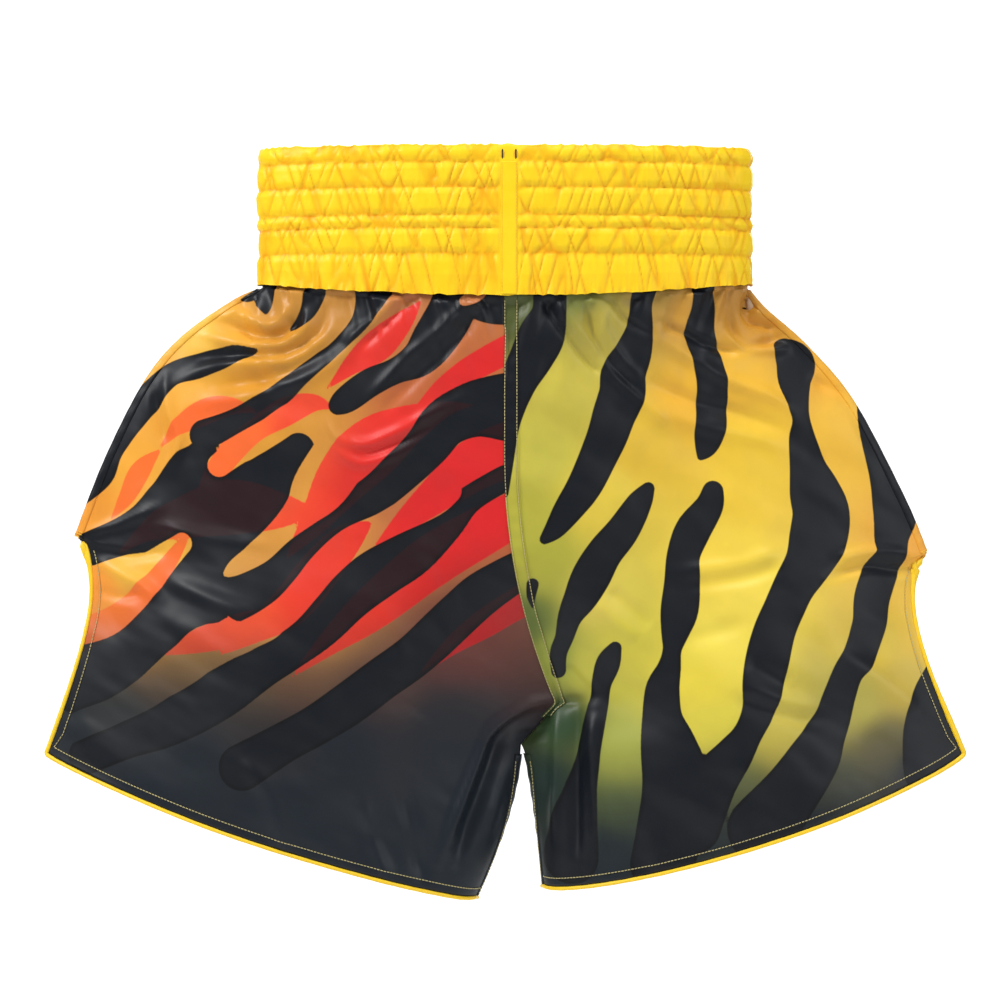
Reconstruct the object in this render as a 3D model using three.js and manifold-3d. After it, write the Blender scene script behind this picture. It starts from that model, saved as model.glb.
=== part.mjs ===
// Boxing shorts, in millimetres, +Z up, hanging open from the waist with the wearer facing -Y.
// The origin is the centre of the waist's top rim. Right and left are the wearer's own, so the
// right leg is at -X. Each panel is a patch of cloth between four edges, and every trim piece
// is laid on the panels' own grids, so it follows them when a size changes.

import * as THREE from 'three';
import { mergeVertices } from 'three/addons/utils/BufferGeometryUtils.js';
import Module from 'manifold-3d';

const wasm = await Module();
wasm.setup();

const { lerp, smoothstep, clamp } = THREE.MathUtils;

// ---- Driving dimensions ---------------------------------------------------------------

const GAP = 0.3;                  // clearance between pieces that touch
const CLOTH = 1.0;                // satin with its gathers
const STRIP_THICK = 0.8;          // felled seams, turned hems and the centre strip

const WAIST_HALF = 169;           // half the relaxed waist laid flat, at the elastics
const WAIST_DEPTH = 38;           // half the waist opening, front to back
const ROW_HEIGHTS = [12, 17.5, 19, 9, 17.5, 20];   // stitched rows of the casing, from the top
const ROW_PUFF = 2.4;             // how far a row puffs out past its stitch lines
const ROW_SHOULDER = 3.2;         // height over which a row puffs out
const CHANNEL_SHOULDER = 1.6;     // the same in the drawcord channel, the top row
const BAND_DIP = 9;               // how much lower the casing's edge is at the centre
const FOLD_ROUND = 1;             // rounding of the top fold

const ELASTIC_ROWS = [1, 2, 4, 5];
const ELASTIC_WIDTH = 12;
const ELASTIC_THICK = 1.2;
const ELASTIC_LIFT = 0.1;         // how far an elastic lies off the casing, past the clearance

const CENTRE_STRIP_X = 2.8;
const CENTRE_STRIP_WIDTH = 11;
const BUTTONHOLE_SPACING = 9.2;
const BUTTONHOLE_HEIGHT = 8.4;
const BUTTONHOLE_WIDTH = 2.6;
const BUTTONHOLE_STITCH = 0.9;    // width of the stitching round the slot
const BUTTONHOLE_ROUND = 0.45;    // corner radius, as a share of the slot's width

const TUCK = 3.5;                 // panel cloth held inside the casing
const PANEL_DROP = 1.5;           // where the panel starts to flare, below the casing
const HEM_HALF = 318;             // half the width across the hem corners
const CORNER_DROP = 421;
const VENT_TOP_HALF = 298;
const VENT_TOP_DROP = 276;
const VENT_NOTCH = 17;            // how far the vent's edge swings in below its top
const VENT_ROUND = 0.65;          // under 1, the swing is deepest above the vent's middle
const VENT_GAPE = 14;             // half the opening of a vent at the hem
const SEAM_TOP_X = 3.9;
const CROTCH_X = 11;
const CROTCH_DROP = 416;
const LENGTH = 517;               // waist rim to the inner end of the hem
const HEM_ROUND = 0.6;            // under 1, the hem's sag is full along most of its length
const TORSO_DEPTH = 42;           // half the depth over the hips
const LEG_DEPTH = 50;             // half the depth of a leg

const SEAM_WIDTH = 9;
const SEAM_LIFT = 0.8;            // a felled seam stands this far off the panels' faces
const SEAM_END = 0.9;             // share of the centre seam that its strip covers
const SWING_START = 0.35;         // share of the centre seam above its swing to one side
const SEAM_MIDDLE = 0.12;         // where a flat seam's strip starts to cross, of its half width
const PIPING_RADIUS = 1.3;
const PIPING_CLEARANCE = 0.5;
const PIPING_SIDES = 8;
const HEM_ALLOWANCE = 6.7;
const BARTACK_LENGTH = 5;
const BARTACK_THICK = 1;

// How each half lies: the right leg hangs a little lower and wider than the left.
// Shoulder points are shares of the way out and down from the waist to the vent's top.
const RIGHT = {
  name: 'right',
  sign: -1,
  ventShift: [2, -6],
  lengthShift: 4,
  hemEndX: -20,
  hemSag: 9,
  innerBend: 1.6,
  shoulder: [[0.15, 0.05], [0.43, 0.2], [0.63, 0.38], [0.84, 0.69]],
};
const LEFT = {
  name: 'left',
  sign: 1,
  ventShift: [-3, 6],
  lengthShift: -4,
  hemEndX: 27,
  hemSag: 15,
  innerBend: 0.6,
  shoulder: [[0.1, 0.08], [0.33, 0.22], [0.59, 0.43], [0.87, 0.79]],
};
const SIDES = [RIGHT, LEFT];

// The front seam swings to the wearer's left on its way to the crotch, the back one doesn't.
const FRONT = { name: 'front', sign: -1, drift: 34.6 };
const BACK = { name: 'back', sign: 1, drift: 0 };
const FACES = [FRONT, BACK];

// Grid of a panel: columns from the centre out, rows from the waist down.
const COLUMNS = 10;
const HIP_V = 0.3;                // share of the way down where the hips are full
const THIGH_V = 0.42;             // share of the way down where the legs start to round
const VENT_V = 0.58;              // share of the way down where the vent starts
const CROTCH_V = 0.78;            // share of the way down where the legs part
const ROW_SPANS = [[0, VENT_V, 10], [VENT_V, CROTCH_V, 4], [CROTCH_V, 1, 6]];
const SIDE_SEAM_ROW = 3;          // row where the side seams' strips start, clear of the casing
const FACING_ROWS = 3;            // rows between a vent's top and the end of its turned edge

// ---- Colours ----------------------------------------------------------------------------

const YELLOW = { color: 0xffcf1a, roughness: 0.42, metalness: 0 };
const DARK = { color: 0x181f2b, roughness: 0.38, metalness: 0 };
const GOLD = { color: 0xe2ad3c, roughness: 0.38, metalness: 0 };
const ORANGE = { color: 0xdc8a35, roughness: 0.38, metalness: 0 };
const WHITE_RUBBER = { color: 0xe9e6dc, roughness: 0.8, metalness: 0 };
const THREAD = { color: 0xb9a468, roughness: 0.6, metalness: 0 };

const garment = new THREE.Group();

function addPiece(name, geometry, finish) {
  const mesh = new THREE.Mesh(geometry, new THREE.MeshStandardMaterial(finish));
  mesh.name = name;
  garment.add(mesh);
  return mesh;
}

// ---- Closed bodies from grids -----------------------------------------------------------

// Makes a body of points and triangles, and turns it right side out by its signed volume.
function bodyOf(points, faces) {
  let volume = 0;
  for (let i = 0; i < faces.length; i += 3) {
    const [a, b, c] = [points[faces[i]], points[faces[i + 1]], points[faces[i + 2]]];
    volume += a.dot(b.clone().cross(c));
  }
  const outward = volume > 0 ? faces : [...faces].reverse();
  const geometry = new THREE.BufferGeometry();
  geometry.setFromPoints(points);
  geometry.setIndex(outward);
  geometry.computeVertexNormals();
  return geometry;
}

// The body between two matching grids, closed round all four borders.
function slab(near, far) {
  const rows = near.length;
  const columns = near[0].length;
  const at = (layer, row, column) => (layer * rows + row) * columns + column;
  const faces = [];
  const quad = (a, b, c, d) => faces.push(a, b, c, a, c, d);
  for (let r = 0; r < rows - 1; r += 1) {
    for (let c = 0; c < columns - 1; c += 1) {
      quad(at(0, r, c), at(0, r + 1, c), at(0, r + 1, c + 1), at(0, r, c + 1));
      quad(at(1, r, c), at(1, r, c + 1), at(1, r + 1, c + 1), at(1, r + 1, c));
    }
    const last = columns - 1;
    quad(at(0, r, 0), at(1, r, 0), at(1, r + 1, 0), at(0, r + 1, 0));
    quad(at(0, r, last), at(0, r + 1, last), at(1, r + 1, last), at(1, r, last));
  }
  for (let c = 0; c < columns - 1; c += 1) {
    const last = rows - 1;
    quad(at(0, 0, c), at(0, 0, c + 1), at(1, 0, c + 1), at(1, 0, c));
    quad(at(0, last, c), at(1, last, c), at(1, last, c + 1), at(0, last, c + 1));
  }
  return bodyOf([...near.flat(), ...far.flat()], faces);
}

// A ring round the waist: a closed section of [offset outwards, drop] pairs at every station.
function waistRing(section, dips) {
  const stations = COLUMNS * 4;
  const points = [];
  const faces = [];
  for (let k = 0; k < stations; k += 1) {
    for (const [offset, drop] of section) points.push(waistPoint(k / stations, offset, drop, dips));
  }
  const at = (k, i) => (k % stations) * section.length + (i % section.length);
  for (let k = 0; k < stations; k += 1) {
    for (let i = 0; i < section.length; i += 1) {
      faces.push(at(k, i), at(k + 1, i), at(k + 1, i + 1));
      faces.push(at(k, i), at(k + 1, i + 1), at(k, i + 1));
    }
  }
  return bodyOf(points, faces);
}

// ---- The waistband ----------------------------------------------------------------------

const rowTops = ROW_HEIGHTS.map((_, i) => ROW_HEIGHTS.slice(0, i).reduce((sum, h) => sum + h, 0));
const bandHeight = ROW_HEIGHTS.reduce((sum, h) => sum + h, 0);
const lastRow = ROW_HEIGHTS.length - 1;

// Middle of the drawcord channel's flat face, as a drop from the rim.
const channelMiddle = (CLOTH + FOLD_ROUND + ROW_HEIGHTS[0]) / 2;

// How much lower the casing's edge is at a place across the waist.
function dipAt(x) {
  return BAND_DIP * Math.max(0, 1 - (x / WAIST_HALF) ** 2);
}

// A point at an offset from the waist's oval; only the lowest row takes the dip.
function waistPoint(turn, offset, drop, dips) {
  const angle = turn * Math.PI * 2;
  const oval = new THREE.Vector3(WAIST_HALF * Math.cos(angle), WAIST_DEPTH * Math.sin(angle), 0);
  const out = new THREE.Vector3(Math.cos(angle) / WAIST_HALF, Math.sin(angle) / WAIST_DEPTH, 0);
  out.normalize();
  const share = dips ? clamp((drop - rowTops[lastRow]) / ROW_HEIGHTS[lastRow], 0, 1) : 0;
  oval.addScaledVector(out, offset);
  oval.z = -drop - share * dipAt(oval.x);
  return oval;
}

// The upper edge of a row's elastic: centred in the row, but clear of the tucked panels.
function elasticTop(row) {
  const centred = rowTops[row] + (ROW_HEIGHTS[row] - ELASTIC_WIDTH) / 2;
  return Math.min(centred, bandHeight - TUCK - GAP - ELASTIC_WIDTH);
}

// The height over which a row puffs out, shortened where a wide elastic needs the room. The
// dip stretches the lowest row's.
function shoulderOf(row) {
  if (row === 0) return CHANNEL_SHOULDER;
  const usual = Math.min(ROW_SHOULDER, ROW_HEIGHTS[row] / 3);
  if (!ELASTIC_ROWS.includes(row)) return usual;
  const above = elasticTop(row) - rowTops[row];
  const below = ROW_HEIGHTS[row] - ELASTIC_WIDTH - above;
  const slope = ROW_PUFF / (ELASTIC_LIFT + ELASTIC_THICK + GAP);
  const stretch = row === lastRow ? 1 + BAND_DIP / ROW_HEIGHTS[row] : 1;
  return Math.min(usual, Math.min(above, below) * slope / stretch);
}

// The inner face of the outer ply, from the fold down to the open edge, as [offset, drop].
function outerPlyProfile() {
  const flat = GAP + ROW_PUFF;
  const profile = [[GAP, CLOTH + FOLD_ROUND]];
  ROW_HEIGHTS.forEach((height, row) => {
    const shoulder = shoulderOf(row);
    const top = rowTops[row];
    const start = row === 0 ? CLOTH + FOLD_ROUND + shoulder : top + shoulder;
    profile.push([flat, start], [flat, top + height - shoulder]);
    if (row < lastRow) profile.push([GAP, top + height]);
  });
  profile.push([flat - CLOTH / 2, bandHeight]);
  return profile;
}

function makeCasing() {
  const inside = outerPlyProfile();
  const outside = inside.slice(1).map(([offset, drop]) => [offset + CLOTH, drop]);
  const section = [
    [-CLOTH, FOLD_ROUND],
    [-CLOTH + FOLD_ROUND / 2, 0],
    [GAP + FOLD_ROUND, 0],
    [GAP + ROW_PUFF / 2 + CLOTH, FOLD_ROUND],
    ...outside,
    ...inside.reverse(),
    [0, CLOTH + FOLD_ROUND],
    [0, bandHeight / 2],
    [0, bandHeight],
    [-CLOTH, bandHeight],
    [-CLOTH, bandHeight / 2],
  ];
  let casing = solidOf(waistRing(section, true));
  for (const x of buttonholePlaces()) casing = casing.subtract(solidOf(buttonholeSlot(x)));
  addPiece('waistband_casing', geometryOf(casing), YELLOW);
}

function makeElastics() {
  ELASTIC_ROWS.forEach((row, index) => {
    const top = elasticTop(row);
    const bottom = top + ELASTIC_WIDTH;
    const inner = GAP + ELASTIC_LIFT;
    const outer = inner + ELASTIC_THICK;
    const section = [[inner, top], [outer, top], [outer, bottom], [inner, bottom]];
    addPiece(`elastic_band_${index + 1}`, waistRing(section, false), WHITE_RUBBER);
  });
}

// Where the waistband's outer face is at the centre front, before the oval turns away.
function bandFaceY(clearance) {
  return -(WAIST_DEPTH + GAP + ROW_PUFF + CLOTH + clearance);
}

// The strip starts at the first stitched row, or under the buttonholes where they reach lower.
function makeCentreStrip() {
  const top = Math.max(ROW_HEIGHTS[0], channelMiddle + BUTTONHOLE_HEIGHT / 2 + GAP);
  const height = bandHeight + BAND_DIP - top;
  const round = CENTRE_STRIP_WIDTH / 8;
  const outline = roundedRectangle(CENTRE_STRIP_WIDTH, height, round);
  const options = { depth: STRIP_THICK, bevelEnabled: false, curveSegments: 3 };
  const geometry = closed(new THREE.ExtrudeGeometry(outline, options));
  const strip = addPiece('waistband_centre_strip', geometry, YELLOW);
  strip.rotation.x = Math.PI / 2;
  strip.position.set(CENTRE_STRIP_X, bandFaceY(GAP), -top - height / 2);
}

function roundedRectangle(width, height, round) {
  const shape = new THREE.Shape();
  const [w, h] = [width / 2, height / 2];
  shape.moveTo(-w + round, -h);
  shape.lineTo(w - round, -h);
  shape.absarc(w - round, -h + round, round, -Math.PI / 2, 0);
  shape.lineTo(w, h - round);
  shape.absarc(w - round, h - round, round, 0, Math.PI / 2);
  shape.lineTo(-w + round, h);
  shape.absarc(-w + round, h - round, round, Math.PI / 2, Math.PI);
  shape.lineTo(-w, -h + round);
  shape.absarc(-w + round, -h + round, round, Math.PI, Math.PI * 1.5);
  return shape;
}

function buttonholePlaces() {
  const half = BUTTONHOLE_SPACING / 2;
  return [CENTRE_STRIP_X - half, CENTRE_STRIP_X + half];
}

// The cutter for one slot: it passes through the outer ply and stops inside the channel.
function buttonholeSlot(x) {
  const width = BUTTONHOLE_WIDTH - 2 * BUTTONHOLE_STITCH;
  const height = BUTTONHOLE_HEIGHT - 2 * BUTTONHOLE_STITCH;
  const reach = ROW_PUFF + CLOTH + GAP;
  const slot = new THREE.BoxGeometry(width, reach, height);
  slot.translate(x, bandFaceY(GAP) + reach / 2, -channelMiddle);
  return closed(slot);
}

function makeButtonholes() {
  const names = ['drawcord_buttonhole_right', 'drawcord_buttonhole_left'];
  buttonholePlaces().forEach((x, index) => {
    const round = BUTTONHOLE_WIDTH * BUTTONHOLE_ROUND;
    const ring = roundedRectangle(BUTTONHOLE_WIDTH, BUTTONHOLE_HEIGHT, round);
    const width = BUTTONHOLE_WIDTH - 2 * BUTTONHOLE_STITCH;
    const height = BUTTONHOLE_HEIGHT - 2 * BUTTONHOLE_STITCH;
    ring.holes.push(roundedRectangle(width, height, width * BUTTONHOLE_ROUND));
    const options = { depth: STRIP_THICK, bevelEnabled: false, curveSegments: 4 };
    const mesh = addPiece(names[index], closed(new THREE.ExtrudeGeometry(ring, options)), THREAD);
    mesh.rotation.x = Math.PI / 2;
    mesh.position.set(x, bandFaceY(GAP), -channelMiddle);
  });
}

// ---- Solids for the cuts ----------------------------------------------------------------

function closed(geometry) {
  const bare = new THREE.BufferGeometry();
  bare.setAttribute('position', geometry.getAttribute('position'));
  if (geometry.index) bare.setIndex(geometry.index);
  return mergeVertices(bare, 1e-4);
}

function solidOf(geometry) {
  const vertProperties = new Float32Array(geometry.getAttribute('position').array);
  const triVerts = new Uint32Array(geometry.index.array);
  return new wasm.Manifold(new wasm.Mesh({ numProp: 3, vertProperties, triVerts }));
}

function geometryOf(solid) {
  const mesh = solid.getMesh();
  const geometry = new THREE.BufferGeometry();
  geometry.setAttribute('position', new THREE.BufferAttribute(mesh.vertProperties, 3));
  geometry.setIndex(new THREE.BufferAttribute(mesh.triVerts, 1));
  return geometry;
}

// ---- The panels' four edges, as places across (x) and up (y) ------------------------------

const hemDrop = (side) => LENGTH + side.lengthShift;
const panelHalf = WAIST_HALF + GAP;

function topEdge(side, p) {
  const x = lerp(SEAM_TOP_X + side.sign * GAP / 2, side.sign * panelHalf, p);
  return new THREE.Vector2(x, -(bandHeight + PANEL_DROP + dipAt(x)));
}

// From the inner end of the hem to the vent's corner, sagging a little on the way.
function hemEdge(side, p) {
  const inner = new THREE.Vector2(side.hemEndX, -hemDrop(side));
  const corner = new THREE.Vector2(side.sign * HEM_HALF, -CORNER_DROP);
  const point = inner.lerp(corner, p);
  point.y -= side.hemSag * Math.max(0, Math.sin(Math.PI * p)) ** HEM_ROUND;
  return point;
}

// Down the centre seam to the crotch, then down the inside of the leg.
function innerEdge(side, face, v) {
  const top = topEdge(side, 0);
  const crotch = new THREE.Vector2(CROTCH_X + side.sign * GAP / 2, -CROTCH_DROP);
  if (v > CROTCH_V) {
    const share = (v - CROTCH_V) / (1 - CROTCH_V);
    const end = hemEdge(side, 0);
    const bent = lerp(crotch.x, end.x, share ** side.innerBend);
    return new THREE.Vector2(bent, lerp(crotch.y, end.y, share));
  }
  const share = v / CROTCH_V;
  const swing = clamp((share - SWING_START) / (SEAM_END - SWING_START), 0, 1) ** 2;
  const back = clamp((share - SEAM_END) / (1 - SEAM_END), 0, 1);
  const drifted = top.x + face.drift * swing;
  const straight = lerp(drifted, crotch.x, face.drift ? back : share ** 2);
  return new THREE.Vector2(straight, lerp(top.y, crotch.y, share));
}

// Over the hip to the vent's top, then down the vent, which swings in below its pinched top.
const sideCurves = new Map(SIDES.map((side) => {
  const start = topEdge(side, 1);
  const end = ventTop(side);
  const places = side.shoulder.map(([out, down]) => new THREE.Vector2(
    lerp(start.x, end.x, out),
    lerp(start.y, end.y, down),
  ));
  return [side, new THREE.SplineCurve([start, ...places, end])];
}));

function ventTop(side) {
  const half = VENT_TOP_HALF + side.ventShift[0];
  return new THREE.Vector2(side.sign * half, -(VENT_TOP_DROP + side.ventShift[1]));
}

function outerEdge(side, v) {
  if (v < VENT_V) return sideCurves.get(side).getPoint(v / VENT_V);
  const share = (v - VENT_V) / (1 - VENT_V);
  const point = ventTop(side).lerp(hemEdge(side, 1), share);
  point.x -= side.sign * VENT_NOTCH * Math.sin(Math.PI * share ** VENT_ROUND);
  return point;
}

// How far the cloth stands from the garment's middle plane. The hips are one oval; below the
// crotch each leg is its own, closed along the inseam and open at the vent.
function depthAt(x, p, v) {
  const oval = Math.sqrt(Math.max(0, 1 - (x / panelHalf) ** 2));
  const waist = oval * (WAIST_DEPTH + GAP);
  const torso = Math.cos(Math.PI * p / 2) * TORSO_DEPTH;
  const hip = lerp(waist, torso, smoothstep(v, 0, HIP_V));
  const lens = Math.sin(Math.PI * Math.min(p, 1));
  const round = p < 0.5 ? Math.sqrt(4 * p * (1 - p)) : lens;
  const leg = LEG_DEPTH * lerp(lens, round, smoothstep(v, CROTCH_V, 1));
  const gape = VENT_GAPE * smoothstep(v, VENT_V, 1) * p * p;
  return GAP / 2 + lerp(hip, leg, smoothstep(v, THIGH_V, CROTCH_V)) + gape;
}

// A point of a panel's inner face, p of the way across and v of the way down.
function panelPoint(side, face, p, v) {
  const across = innerEdge(side, face, v).lerp(outerEdge(side, v), p);
  const down = topEdge(side, p).lerp(hemEdge(side, p), v);
  const topCorners = topEdge(side, 0).lerp(topEdge(side, 1), p);
  const hemCorners = hemEdge(side, 0).lerp(hemEdge(side, 1), p);
  const flat = across.add(down).sub(topCorners.lerp(hemCorners, v));
  return new THREE.Vector3(flat.x, face.sign * depthAt(flat.x, p, v), flat.y);
}

// ---- Panel grids ------------------------------------------------------------------------

const rowValues = ROW_SPANS.flatMap(([from, to, count], span) => {
  const values = Array.from({ length: count + 1 }, (_, i) => lerp(from, to, i / count));
  return span === 0 ? values : values.slice(1);
});
const ventRow = 1 + ROW_SPANS[0][2];
const crotchRow = ventRow + ROW_SPANS[1][2];

// Columns crowd towards the waist's turned ends at the top and towards both edges lower down.
function columnPlace(column, v) {
  const u = column / COLUMNS;
  return lerp(Math.sin(Math.PI * u / 2), (1 - Math.cos(Math.PI * u)) / 2, v * v);
}

function gridOf(side, face) {
  const skin = rowValues.map((v) => Array.from(
    { length: COLUMNS + 1 },
    (_, column) => panelPoint(side, face, columnPlace(column, v), v),
  ));
  const rise = PANEL_DROP + TUCK;
  skin.unshift(skin[0].map((point) => point.clone().setZ(point.z + rise)));
  return { side, face, skin, normals: normalsOf(skin, face) };
}

// Outward directions, level inside the casing and straight out along the centre seam, where
// the right and left panels end side by side.
function normalsOf(skin, face) {
  const lastColumn = skin[0].length - 1;
  return skin.map((row, r) => row.map((_, c) => {
    const below = skin[Math.min(r + 1, skin.length - 1)][c];
    const above = skin[Math.max(r - 1, 0)][c];
    const out = row[Math.min(c + 1, lastColumn)];
    const inside = row[Math.max(c - 1, 0)];
    const normal = out.clone().sub(inside).cross(below.clone().sub(above)).normalize();
    if (normal.y * face.sign < 0) normal.negate();
    if (r <= 1) normal.z = 0;
    if (c === 0 && r <= crotchRow) normal.set(0, face.sign, 0);
    return normal.normalize();
  }));
}

// The grid's point and normal at a fractional row and column, lifted along the normal.
function onPanel(grid, row, column, lift) {
  const point = blendCell(grid.skin, row, column);
  const normal = blendCell(grid.normals, row, column).normalize();
  return point.addScaledVector(normal, lift);
}

function blendCell(cells, row, column) {
  const r = Math.min(Math.floor(row), cells.length - 2);
  const c = Math.min(Math.floor(column), cells[0].length - 2);
  const upper = cells[r][c].clone().lerp(cells[r][c + 1], column - c);
  const lower = cells[r + 1][c].clone().lerp(cells[r + 1][c + 1], column - c);
  return upper.lerp(lower, row - r);
}

// The fractional column that lies a distance in from an edge, along one row.
function columnIn(grid, row, fromOuter, distance) {
  let left = distance;
  let column = fromOuter ? COLUMNS : 0;
  const step = fromOuter ? -1 : 1;
  while (left > 0) {
    const length = grid.skin[row][column].distanceTo(grid.skin[row][column + step]);
    if (length >= left) return column + step * left / length;
    left -= length;
    column += step;
  }
  return column;
}

function makePanels(grids) {
  for (const grid of grids) {
    const outer = grid.skin.map((row, r) => row.map((_, c) => onPanel(grid, r, c, CLOTH)));
    const finish = grid.side === RIGHT ? ORANGE : GOLD;
    addPiece(`${grid.face.name}_${grid.side.name}_panel`, slab(grid.skin, outer), finish);
  }
}

// ---- Seam strips ------------------------------------------------------------------------

// One line across the edge that two grids share, half a seam's width along each. Where the
// two are the front and the back of one side, the line also stands clear round their edges.
function lineAcross(pair, row, outer, height) {
  const wraps = pair[0].side === pair[1].side;
  const out = outwards(pair[0], row, outer);
  const half = (grid) => [1, 0.5, wraps ? 0 : SEAM_MIDDLE].map((reach) => {
    const column = columnIn(grid, row, outer, reach * SEAM_WIDTH / 2);
    const point = onPanel(grid, row, column, CLOTH + height);
    return reach === 0 ? point.addScaledVector(out, GAP + height) : point;
  });
  return [...half(pair[0]), ...half(pair[1]).reverse()];
}

// The level direction, in the garment's middle plane, that leads away from a side's edge.
function outwards(grid, row, outer) {
  const column = outer ? COLUMNS : 0;
  const above = grid.skin[Math.max(row - 1, 0)][column];
  const below = grid.skin[Math.min(row + 1, grid.skin.length - 1)][column];
  const run = below.clone().sub(above).setY(0).normalize();
  const out = new THREE.Vector3(-run.z, 0, run.x);
  const away = outer ? grid.side.sign : -grid.side.sign;
  return out.x * away < 0 ? out.negate() : out;
}

function seamStrip(pair, rows, outer) {
  const layer = (height) => rows.map((row) => lineAcross(pair, row, outer, height));
  return slab(layer(SEAM_LIFT), layer(SEAM_LIFT + STRIP_THICK));
}

function rowRange(from, to) {
  return Array.from({ length: to - from + 1 }, (_, i) => from + i);
}

function makeSeams(gridFor) {
  const seamRow = rowValues.findIndex((v) => v >= SEAM_END * CROTCH_V - 1e-6);
  for (const face of FACES) {
    const pair = SIDES.map((side) => gridFor(side, face));
    const strip = seamStrip(pair, rowRange(1, 1 + seamRow), false);
    addPiece(`${face.name}_centre_seam_strip`, strip, face === FRONT ? DARK : GOLD);
  }
  for (const side of SIDES) {
    const pair = FACES.map((face) => gridFor(side, face));
    const hip = seamStrip(pair, rowRange(SIDE_SEAM_ROW, ventRow), true);
    addPiece(`${side.name}_side_seam_strip`, hip, side === RIGHT ? ORANGE : GOLD);
    const leg = seamStrip(pair, rowRange(crotchRow + 1, rowValues.length - 1), false);
    addPiece(`${side.name}_inseam_strip`, leg, DARK);
    addPiece(`${side.name}_vent_bartack`, bartack(pair), YELLOW);
  }
}

// A short bar of dense stitching over the side seam, just above the vent's top.
function bartack(pair) {
  const span = pair[0].skin[ventRow][COLUMNS].distanceTo(pair[0].skin[ventRow - 1][COLUMNS]);
  const layer = (height) => {
    const [above, below] = [ventRow - 1, ventRow].map((row) => lineAcross(pair, row, true, height));
    const part = (share) => above.map((point, i) => point.clone().lerp(below[i], share));
    return [part(1 - BARTACK_LENGTH / span), part(1)];
  };
  const lift = SEAM_LIFT + STRIP_THICK + GAP;
  return slab(layer(lift), layer(lift + BARTACK_THICK));
}

// ---- Turned hems ------------------------------------------------------------------------

// The allowance turned to the inside, along the hem and up the vent, mitred at the corner.
function makeHemFacings(grids) {
  for (const grid of grids) {
    const lastRow = grid.skin.length - 1;
    const hemRow = (column) => {
      const c = Math.round(column);
      return lastRow - HEM_ALLOWANCE / grid.skin[lastRow][c].distanceTo(grid.skin[lastRow - 1][c]);
    };
    const stations = [];
    for (let column = 1; column <= COLUMNS; column += 1) stations.push([lastRow, column]);
    for (let row = lastRow - 1; row >= ventRow + FACING_ROWS; row -= 1) stations.push([row, COLUMNS]);
    const layer = (lift) => stations.map(([row, column]) => {
      const innerRow = Math.min(row, hemRow(column));
      const innerColumn = Math.min(column, columnIn(grid, row, true, HEM_ALLOWANCE));
      return [
        onPanel(grid, row, column, lift),
        onPanel(grid, (row + innerRow) / 2, (column + innerColumn) / 2, lift),
        onPanel(grid, innerRow, innerColumn, lift),
      ];
    });
    const finish = grid.side === RIGHT ? ORANGE : GOLD;
    const facing = slab(layer(-GAP), layer(-GAP - STRIP_THICK));
    addPiece(`${grid.face.name}_${grid.side.name}_hem_facing`, facing, finish);
  }
}

// ---- Piping -----------------------------------------------------------------------------

// A path through given points, met exactly, for a section swept along a cut edge.
class EdgePath extends THREE.Curve {
  constructor(points) {
    super();
    this.points = points;
  }

  getPoint(t) {
    const place = t * (this.points.length - 1);
    const index = Math.min(Math.floor(place + 1e-9), this.points.length - 2);
    return this.points[index].clone().lerp(this.points[index + 1], place - index);
  }

  getPointAt(t) {
    return this.getPoint(t);
  }

  getTangentAt(t) {
    const index = Math.round(t * (this.points.length - 1));
    const before = this.points[Math.max(index - 1, 0)];
    const after = this.points[Math.min(index + 1, this.points.length - 1)];
    return after.clone().sub(before).normalize();
  }
}

// Points along a panel's cut edge, from the inner leg to the vent's top, outside the cloth.
function pipingRun(grid) {
  const lastRow = grid.skin.length - 1;
  const stations = [];
  for (let column = 1; column <= COLUMNS; column += 1) stations.push([lastRow, column]);
  for (let row = lastRow - 1; row > ventRow; row -= 1) stations.push([row, COLUMNS]);
  const edge = stations.map(([row, column]) => onPanel(grid, row, column, CLOTH / 2));
  return edge.map((point, i) => {
    const [row, column] = stations[i];
    const before = edge[Math.max(i - 1, 0)];
    const after = edge[Math.min(i + 1, edge.length - 1)];
    const run = after.clone().sub(before).normalize();
    const out = run.cross(grid.normals[row][column]).normalize();
    const innerRow = row === lastRow ? row - 1 : row;
    const innerColumn = column === COLUMNS ? column - 1 : column;
    const inside = onPanel(grid, innerRow, innerColumn, CLOTH / 2);
    if (out.dot(point.clone().sub(inside)) < 0) out.negate();
    return point.clone().addScaledVector(out, PIPING_RADIUS + PIPING_CLEARANCE);
  });
}

function makePiping(gridFor) {
  for (const side of SIDES) {
    const front = pipingRun(gridFor(side, FRONT));
    const back = pipingRun(gridFor(side, BACK));
    const turn = hemEdge(side, 0);
    const drop = PIPING_RADIUS + PIPING_CLEARANCE;
    const inner = new THREE.Vector3(turn.x - side.sign * CLOTH / 2, 0, turn.y - drop);
    const path = new EdgePath([...front.reverse(), inner, ...back]);
    const section = new THREE.Shape();
    section.absarc(0, 0, PIPING_RADIUS, 0, Math.PI * 2);
    const options = {
      steps: path.points.length - 1,
      curveSegments: PIPING_SIDES / 2,
      bevelEnabled: false,
      extrudePath: path,
    };
    addPiece(`${side.name}_leg_piping`, closed(new THREE.ExtrudeGeometry(section, options)), YELLOW);
  }
}

// ---- Assembly ---------------------------------------------------------------------------

const grids = SIDES.flatMap((side) => FACES.map((face) => gridOf(side, face)));
const gridFor = (side, face) => grids.find((grid) => grid.side === side && grid.face === face);

makeCasing();
makeElastics();
makeCentreStrip();
makeButtonholes();
makePanels(grids);
makeSeams(gridFor);
makeHemFacings(grids);
makePiping(gridFor);

export default garment;
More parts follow.
